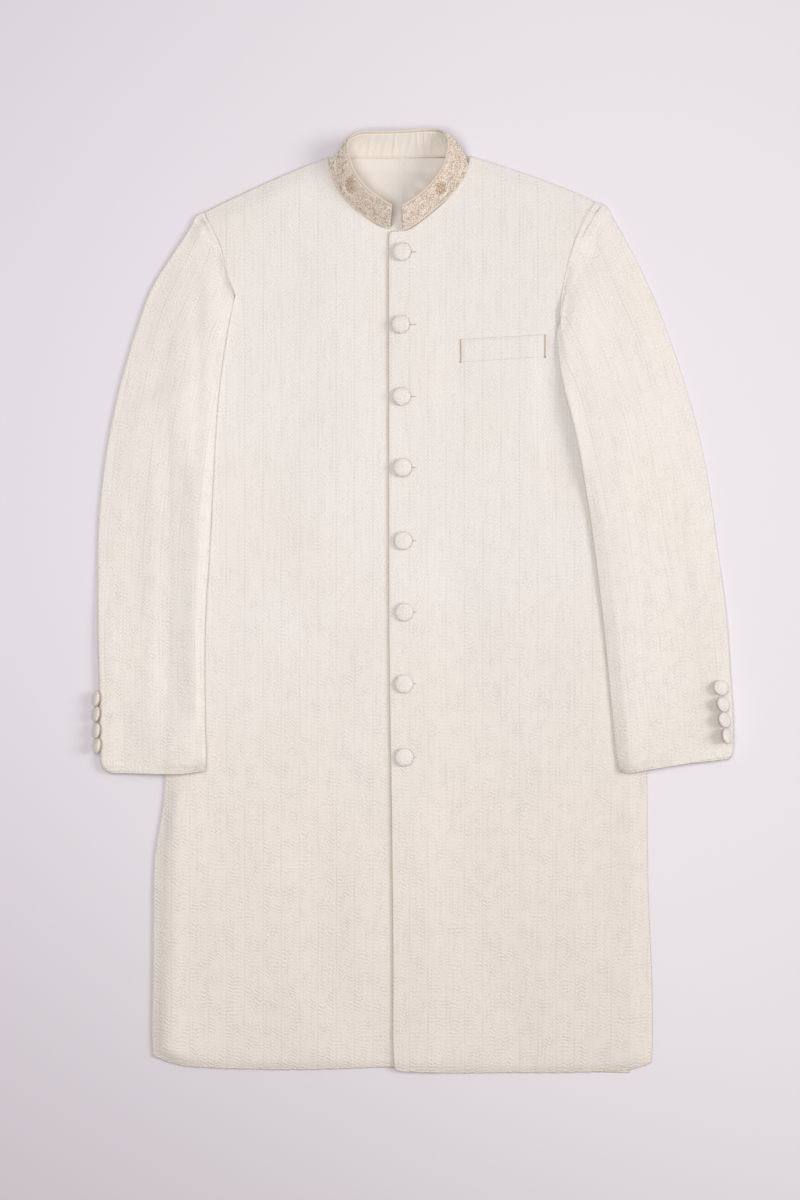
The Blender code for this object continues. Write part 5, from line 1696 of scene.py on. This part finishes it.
def place_button(name, points, flat, rim, material):
    """Puts a button where its solid is. rim tells how near each point is to the button's seat."""
    low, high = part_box(name)
    centre = (np.array(low) + np.array(high)) / 2 / MM
    points = points - (points.min(axis=0) + points.max(axis=0)) / 2 + centre
    faces = spindle_faces(BUTTON_RINGS, BUTTON_SIDES)
    button = add_mesh(name, points, faces, material, flat * MM, rim)
    finish_piece(button, name)


def make_buttons(material):
    """The eight front buttons, then the four on each cuff, which lean over like shingles."""
    for number, (x, y) in enumerate(FRONT_BUTTONS, 1):
        shape = button_shape(FRONT_BUTTON_RADIUS, FRONT_BUTTON_HEIGHT, number)
        # rim carries the painted shade at the button's seat, fading with height
        rim = BUTTON_TINT[0] + shape[:, 2] / FRONT_BUTTON_HEIGHT * BUTTON_TINT[1]
        place_button(f"front_button_{number}", shape, shape[:, :2] + np.array([x, y]), rim, material)
    for side in SIDES:
        for number, lean in enumerate(CUFF_BUTTON_LEANS[side], 1):
            shape = button_shape(CUFF_BUTTON_RADIUS, CUFF_BUTTON_HEIGHT, CUFF_BUTTON_SEEDS * number)
            aside, step = CUFF_BUTTON_CLOTH
            flat = shape[:, :2] + np.array([SIGN[side] * aside, step * number])
            rim = CUFF_BUTTON_TINT[0] + shape[:, 2] / CUFF_BUTTON_HEIGHT * CUFF_BUTTON_TINT[1]
            leaning = tilt(shape, SIGN[side] * lean, CUFF_BUTTON_SHINGLE)
            place_button(f"cuff_button_{side}_{number}", leaning, flat, rim, material)


def make_buttonholes(thread, slit_material):
    """Worked buttonholes: close stitches on both sides of a slit and a bar across its outer end."""
    starts, ends = [], []
    for _, y in FRONT_BUTTONS:
        for x in np.arange(HOLE_START, HOLE_END, HOLE_PITCH):
            for side in (-1.0, 1.0):
                starts.append((x, y + side * HOLE_GAP))
                ends.append((x, y + side * (HOLE_GAP + HOLE_STITCH)))
        for shift in HOLE_BAR_SHIFTS:
            starts.append((HOLE_END + shift, y - HOLE_BAR))
            ends.append((HOLE_END + shift, y + HOLE_BAR))
    inner, outer = [[(x, y) for _, y in FRONT_BUTTONS] for x in (HOLE_START, HOLE_END)]
    sewn = [sewn_stitches("buttonhole_stitches", starts, ends, 0.0, HOLE_STITCH_SIZE, thread),
            sewn_stitches("buttonhole_slits", inner, outer, 0.0, HOLE_SLIT_SIZE, slit_material)]
    return [trim(piece) for piece in sewn]


# ---- Materials ----

class Nodes:
    """Adds nodes to a tree, with links or plain values for their inputs."""

    def __init__(self, tree):
        self.tree = tree

    def feed(self, socket, value):
        """Links a socket to another one, or gives it a plain value."""
        if isinstance(value, bpy.types.NodeSocket):
            self.tree.links.new(value, socket)
        else:
            socket.default_value = value

    def add(self, kind, inputs=None, **settings):
        node = self.tree.nodes.new("ShaderNode" + kind)
        for key, value in settings.items():
            setattr(node, key, value)
        for key, value in (inputs or {}).items():
            self.feed(node.inputs[key], value)
        return node

    def maths(self, operation, *values):
        return self.add("Math", dict(enumerate(values)), operation=operation).outputs[0]

    def mixed(self, share, first, second):
        return self.add("Mix", {0: share, 6: first, 7: second}, data_type="RGBA").outputs[2]

    def eased(self, value, low, high, first=0.0, last=1.0):
        inputs = {"Value": value, "From Min": low, "From Max": high, "To Min": first, "To Max": last}
        return self.add("MapRange", inputs, interpolation_type="SMOOTHSTEP").outputs[0]

    def noise(self, vector, scale, detail=2.0, roughness=0.5):
        inputs = {"Vector": vector, "Scale": scale, "Detail": detail, "Roughness": roughness}
        return self.add("TexNoise", inputs).outputs["Fac"]


def new_group(name, inputs, outputs):
    """An empty node group with named sockets: inputs as (name, kind, value) and outputs as (name, kind)."""
    tree = bpy.data.node_groups.new(name, "ShaderNodeTree")
    for socket_name, kind, value in inputs:
        socket = tree.interface.new_socket(socket_name, in_out="INPUT", socket_type="NodeSocket" + kind)
        if value is not None:
            socket.default_value = value
    for socket_name, kind in outputs:
        tree.interface.new_socket(socket_name, in_out="OUTPUT", socket_type="NodeSocket" + kind)
    nodes = Nodes(tree)
    return nodes, tree.nodes.new("NodeGroupInput").outputs, tree.nodes.new("NodeGroupOutput").inputs


def brocade_group():
    """Self-coloured brocade. Upright lines of pits stand a pitch apart, with ladders, zigzags and a chain of
    lozenges between them, on a crinkled ground. Lengths in it are in millimetres."""
    nodes, given, out = new_group("self_brocade", [
        ("Cloth", "Vector", None), ("Line Pitch", "Float", LINE_PITCH),
        ("Crinkle Pitch", "Float", CRINKLE_PITCH), ("Crinkle", "Float", 1.0), ("Figures", "Float", 1.0),
        ("Weave", "Float", 1.0),
    ], [("Height", "Float"), ("Thread", "Float"), ("Hollow", "Float")])
    maths, eased = nodes.maths, nodes.eased

    def times(first, second):
        return maths("MULTIPLY", first, second)

    def wave(value, pitch):
        return maths("SINE", times(value, 2 * math.pi / pitch))

    def band(value, low, high, soft):
        return times(eased(value, low, low + soft), eased(value, high - soft, high, 1.0, 0.0))

    def wear_and_shade(scale, detail, low, high, least):
        """A share from least to 1 that comes and goes in patches."""
        return eased(nodes.noise(given["Cloth"], scale, detail), low, high, least, 1.0)

    def drawn_out(across, up, detail, roughness=0.5):
        """Noise that is drawn out along the cloth's two directions by these scales."""
        parts = {"X": times(u, across), "Y": times(v, up)}
        return nodes.noise(nodes.add("CombineXYZ", parts).outputs[0], 1.0, detail, roughness)

    place = nodes.add("SeparateXYZ", {"Vector": given["Cloth"]}).outputs
    wander = maths("SUBTRACT", nodes.noise(given["Cloth"], WANDER_SCALE, 2.0), 0.5)
    u = maths("ADD", times(place["X"], 1 / MM), times(wander, WANDER))
    v = times(place["Y"], 1 / MM)
    column = maths("DIVIDE", u, given["Line Pitch"])
    number = maths("FLOOR", column)
    part = times(maths("SUBTRACT", maths("SUBTRACT", column, number), 0.5), given["Line Pitch"])
    aside = maths("ABSOLUTE", part)
    from_middle = maths("SUBTRACT", times(given["Line Pitch"], 0.5), aside)
    odd = maths("MODULO", maths("ABSOLUTE", number), 2.0)
    slipped = maths("ADD", v, times(odd, COLUMN_SLIP))

    pits = times(eased(aside, *PIT_REACH, 1.0, 0.0), eased(wave(slipped, LINE_BEAT), -0.2, 0.6))
    pits = times(pits, wear_and_shade(*PIT_WEAR))
    rungs = times(band(aside, *LADDER_SPAN), eased(wave(slipped, LADDER_BEAT), 0.0, 0.8))
    zigzag_line = maths("ADD", maths("PINGPONG", slipped, ZIGZAG_BEAT), ZIGZAG_START)
    zigzag_off = maths("ABSOLUTE", maths("SUBTRACT", aside, zigzag_line))
    zigzag = eased(zigzag_off, *ZIGZAG_WIDTH, 1.0, 0.0)
    slant = maths("ADD", maths("DIVIDE", from_middle, LOZENGE_SIZE),
                  maths("DIVIDE", maths("PINGPONG", slipped, LOZENGE_BEAT), LOZENGE_BEAT))
    ring_off = maths("ABSOLUTE", maths("SUBTRACT", slant, LOZENGE_RING))
    lozenge = maths("MAXIMUM", eased(ring_off, *LOZENGE_RING_WIDTH, 1.0, 0.0),
                    eased(slant, *LOZENGE_HEART, 1.0, 0.0))
    figures = maths("MAXIMUM", maths("MAXIMUM", rungs, zigzag), lozenge)
    figures = times(times(figures, wear_and_shade(*FIGURE_WEAR)), given["Figures"])

    slope = times(maths("PINGPONG", u, SLANT_TURN), SLANT)
    level = maths("ADD", maths("DIVIDE", maths("ADD", v, slope), given["Crinkle Pitch"]),
                  times(drawn_out(*STRAY_SCALES, 1.0), CRINKLE_STRAY))
    ridge = times(wave(level, 1.0), wear_and_shade(*CRINKLE_WEAR))
    crinkle = times(times(ridge, eased(aside, *CRINKLE_CLEAR)), given["Crinkle"])

    yarn = times(wave(u, YARN_PITCH[0]), wave(v, YARN_PITCH[1]))
    slub = drawn_out(*SLUB_SCALES, 3.0, 0.6)
    weave = times(maths("ADD", times(yarn, YARN_SHARE), slub), given["Weave"])
    streak = eased(drawn_out(*STREAK_SCALES, 1.0), *STREAK_SPAN)

    height = maths("ADD", times(figures, FIGURE_RELIEF), times(crinkle, CRINKLE_RELIEF))
    height = maths("SUBTRACT", height, times(times(pits, PIT_RELIEF), given["Figures"]))
    nodes.feed(out["Height"], maths("ADD", height, times(weave, WEAVE_RELIEF)))
    nodes.feed(out["Thread"], maths("SUBTRACT", figures, THREAD_START))
    # Hollow: painted shade in the crinkle's low parts and in the pits, with the cloth's own streaks
    low_crinkle = eased(crinkle, -1.0, 0.0, 1.0, 0.0)
    shade = maths("ADD", times(low_crinkle, CRINKLE_HOLLOW), times(streak, STREAK_HOLLOW))
    dark_pits = times(pits, times(given["Figures"], PIT_HOLLOW))
    nodes.feed(out["Hollow"], maths("MAXIMUM", dark_pits, shade))
    return nodes.tree


def tone_group():
    """Cloth colour that drifts a little over broad patches, darkens in hollows and tans at cut edges as
    painted shade, and lightens on raised thread as a painted highlight.
    """
    nodes, given, out = new_group("cloth_tone", [
        ("Cloth", "Vector", None), ("Base", "Color", (0.8, 0.74, 0.66, 1.0)),
        ("Warm", "Color", (0.8, 0.72, 0.62, 1.0)), ("Edge Colour", "Color", (0.55, 0.43, 0.3, 1.0)),
        ("Hollow", "Float", 0.0), ("Hollow Depth", "Float", 0.12), ("Thread", "Float", 0.0),
        ("Thread Lift", "Float", 0.14), ("Edge", "Float", 1.0), ("Drift", "Float", 0.5),
        ("Low", "Color", (0.8, 0.74, 0.66, 1.0)), ("Low Share", "Float", 0.0),
    ], [("Colour", "Color")])
    maths = nodes.maths
    broad = nodes.eased(nodes.noise(given["Cloth"], 5.5, 3.0), 0.3, 0.7)
    fine = nodes.noise(given["Cloth"], 420.0, 2.0)
    colour = nodes.mixed(maths("MULTIPLY", broad, given["Drift"]), given["Base"], given["Warm"])
    colour = nodes.mixed(given["Low Share"], colour, given["Low"])
    # Painted shade in hollows and a painted highlight on raised thread
    shade = maths("SUBTRACT", 1.0, maths("MULTIPLY", given["Hollow"], given["Hollow Depth"]))
    shade = maths("ADD", shade, maths("MULTIPLY", given["Thread"], given["Thread Lift"]))
    shade = maths("ADD", shade, maths("MULTIPLY", maths("SUBTRACT", fine, 0.5), 0.06))
    scaled = nodes.add("VectorMath", {0: colour, "Scale": shade}, operation="SCALE").outputs[0]
    # Painted shade: tan near the cut edges
    rim = nodes.eased(given["Edge"], *EDGE_TINT_SPAN, 1.0, 0.0)
    nodes.feed(out["Colour"], nodes.mixed(rim, scaled, given["Edge Colour"]))
    return nodes.tree


def new_material(name):
    """A material with its nodes and its shader."""
    material = bpy.data.materials.new(name)
    material.use_nodes = True
    nodes = Nodes(material.node_tree)
    return material, nodes, material.node_tree.nodes["Principled BSDF"]


def set_shader(shader, **values):
    """Sets a shader's plain values, named by its sockets with underscores for spaces."""
    for name, value in values.items():
        shader.inputs[name.replace("_", " ")].default_value = value


def set_sheen(shader, weight, roughness, tint):
    set_shader(shader, Sheen_Weight=weight, Sheen_Roughness=roughness, Sheen_Tint=(*tint, 1.0))


def add_relief(nodes, shader, height, distance):
    """Relief on a shader, this deep in metres where the height is 1."""
    bump = nodes.add("Bump", {"Height": height, "Distance": distance, "Strength": 1.0})
    nodes.feed(shader.inputs["Normal"], bump.outputs[0])


def brocade_material(groups, name, crinkle, depth, low, base, warm, edge_colour):
    """The coat's own cloth, with its painted edge shade taken from the mesh."""
    material, nodes, shader = new_material(name)
    cloth = nodes.add("UVMap", uv_map="cloth").outputs["UV"]
    edge = nodes.add("Attribute", attribute_name="edge").outputs["Fac"]
    relief = nodes.add("Group", {"Cloth": cloth, "Crinkle": up_the_cloth(nodes, cloth, crinkle)},
                       node_tree=groups["brocade"])
    tone = nodes.add("Group", {
        "Cloth": cloth, "Hollow": relief.outputs["Hollow"], "Thread": relief.outputs["Thread"], "Edge": edge,
        "Low Share": up_the_cloth(nodes, cloth, (*low, 1.0, 0.0)), "Low": (*HEM_WARM, 1.0),
        "Base": (*base, 1.0), "Warm": (*warm, 1.0), "Edge Colour": (*edge_colour, 1.0),
    }, node_tree=groups["tone"])
    nodes.feed(shader.inputs["Base Color"], tone.outputs[0])
    gloss = nodes.eased(relief.outputs["Thread"], 0.0, 1.0, *BROCADE_GLOSS)
    nodes.feed(shader.inputs["Roughness"], gloss)
    add_relief(nodes, shader, relief.outputs["Height"], depth)
    set_sheen(shader, *BROCADE_SHEEN)
    set_shader(shader, Specular_IOR_Level=0.35)
    return material


def up_the_cloth(nodes, cloth, span):
    """A value that changes up the cloth: low and high place in metres, and the value at each."""
    up = nodes.add("SeparateXYZ", {"Vector": cloth}).outputs["Y"]
    return nodes.eased(up, *span)


def satin_material(groups, name, base, warm, gloss, ribs):
    """Plain smooth cloth, for the lining, the collar's ground, the facing and its seams."""
    material, nodes, shader = new_material(name)
    cloth = nodes.add("UVMap", uv_map="cloth").outputs["UV"]
    place = nodes.add("SeparateXYZ", {"Vector": cloth}).outputs
    grain = nodes.add("CombineXYZ", {"X": nodes.maths("MULTIPLY", place["X"], ribs),
                                     "Y": nodes.maths("MULTIPLY", place["Y"], ribs / 6)}).outputs[0]
    yarn = nodes.noise(grain, 1.0, 3.0, 0.6)
    tone = nodes.add("Group", {"Cloth": cloth, "Hollow": yarn, "Hollow Depth": 0.06, "Base": (*base, 1.0),
                               "Warm": (*warm, 1.0)}, node_tree=groups["tone"])
    nodes.feed(shader.inputs["Base Color"], tone.outputs[0])
    nodes.feed(shader.inputs["Roughness"], nodes.eased(yarn, 0.3, 0.7, gloss, gloss + GLOSS_SPREAD))
    add_relief(nodes, shader, yarn, SATIN_DEPTH)
    set_sheen(shader, *SATIN_SHEEN)
    return material


def thread_material(name, base, dark, metallic, rough, twist):
    """Thread or beads: a colour that varies from strand to strand, with the twist of the yarn."""
    material, nodes, shader = new_material(name)
    place = nodes.add("TexCoord").outputs["Object"]
    strand = nodes.noise(place, 700.0, 2.0, 0.7)
    colour = nodes.mixed(nodes.eased(strand, 0.35, 0.65), (*dark, 1.0), (*base, 1.0))
    nodes.feed(shader.inputs["Base Color"], colour)
    nodes.feed(shader.inputs["Roughness"], nodes.eased(strand, 0.3, 0.7, rough + GLOSS_SPREAD, rough))
    set_shader(shader, Metallic=metallic)
    add_relief(nodes, shader, nodes.noise(place, twist, 1.0), TWIST_DEPTH)
    return material


def floor_material():
    """Pale paper, lighter towards the window as painted light and a little darker in one corner as painted
    shade.
    """
    material, nodes, shader = new_material("paper_floor")
    place = nodes.add("TexCoord").outputs["Object"]
    spot = nodes.add("SeparateXYZ", {"Vector": place}).outputs
    drift = nodes.maths("MULTIPLY", nodes.noise(place, 1.3, 2.0), 0.2)
    broad = nodes.eased(nodes.maths("ADD", spot["X"], drift), *FLOOR_SWEEP)
    corner = nodes.maths("ADD", spot["Y"], nodes.maths("MULTIPLY", spot["X"], 0.6))
    # Painted shade in one corner
    wear_and_shade = nodes.eased(corner, *FLOOR_SHADE_SPAN, 1.0, 0.0)
    paper = nodes.mixed(broad, *FLOOR_COLOURS)
    nodes.feed(shader.inputs["Base Color"], nodes.mixed(wear_and_shade, paper, FLOOR_SHADE))
    set_shader(shader, Roughness=0.9, Specular_IOR_Level=0.2)
    return material


# ---- Camera, light and floor ----

def make_camera():
    data = bpy.data.cameras.new("camera")
    data.sensor_width = CAMERA_SENSOR
    data.lens = CAMERA_SENSOR * CAMERA_HEIGHT / FRAME_HEIGHT
    data.clip_end = 50.0
    camera = bpy.data.objects.new("camera", data)
    camera.location = (0.0, 0.0, CAMERA_HEIGHT)
    bpy.context.scene.collection.objects.link(camera)
    bpy.context.scene.camera = camera


def make_lights():
    for name, place, size, power, colour in LIGHTS:
        data = bpy.data.lights.new(name, "AREA")
        data.shape, data.size, data.energy, data.color = "DISK", size, power, colour
        light = bpy.data.objects.new(name, data)
        light.location = place
        light.rotation_euler = (-Vector(place)).to_track_quat("-Z", "Y").to_euler()
        light.visible_camera = False
        bpy.context.scene.collection.objects.link(light)
    world = bpy.data.worlds.new("room")
    world.use_nodes = True
    fill = world.node_tree.nodes["Background"].inputs
    fill["Color"].default_value, fill["Strength"].default_value = (*ROOM_COLOUR, 1.0), ROOM_STRENGTH
    bpy.context.scene.world = world
    bpy.context.scene.view_settings.view_transform = "Standard"


def make_floor():
    mesh = bpy.data.meshes.new("floor")
    work = bmesh.new()
    bmesh.ops.create_grid(work, x_segments=8, y_segments=8, size=FLOOR_SIZE / 2)
    work.to_mesh(mesh)
    work.free()
    floor = bpy.data.objects.new("floor", mesh)
    floor.location.z = -FLOOR_DROP
    floor.data.materials.append(floor_material())
    bpy.context.scene.collection.objects.link(floor)


# ---- The whole coat ----

def make_coat():
    """All the pieces of the coat, from the back up to the buttons."""
    groups = {"brocade": brocade_group(), "tone": tone_group()}
    brocade = {name: brocade_material(groups, "ivory_brocade_" + name, *look)
               for name, look in BROCADE_LOOKS.items()}
    satin = {name: satin_material(groups, name, *look) for name, look in SATIN_LOOKS.items()}
    sewing = {name: thread_material(name, *look) for name, look in SEWING_LOOKS.items()}
    threads = {name: thread_material("collar_" + name, *look) for name, look in THREAD_LOOKS.items()}

    make_back(brocade["body"])
    make_back_lining(satin["ivory_satin_lining"])
    sewn_on = {"right": [], "left": make_buttonholes(sewing["ivory_thread"], sewing["buttonhole_shadow"])}
    for side in ("right", "left"):
        piece, outer = make_front(side, brocade["body"])
        sewn_on[side].insert(0, make_armhole_roll(side, brocade["body"]))
        finish_piece(piece, "front_" + side, outer, sewn_on[side])
    make_pocket_welt(brocade["body"], sewing["tan_thread"])
    for side in SIDES:
        make_sleeve(side, brocade["sleeve"])
    make_collar(satin["beige_silk_collar"], satin["ivory_silk_facing"], satin["tan_silk_seam"], threads)
    make_buttons(brocade["button"])


make_camera()
make_lights()
make_floor()
make_coat()
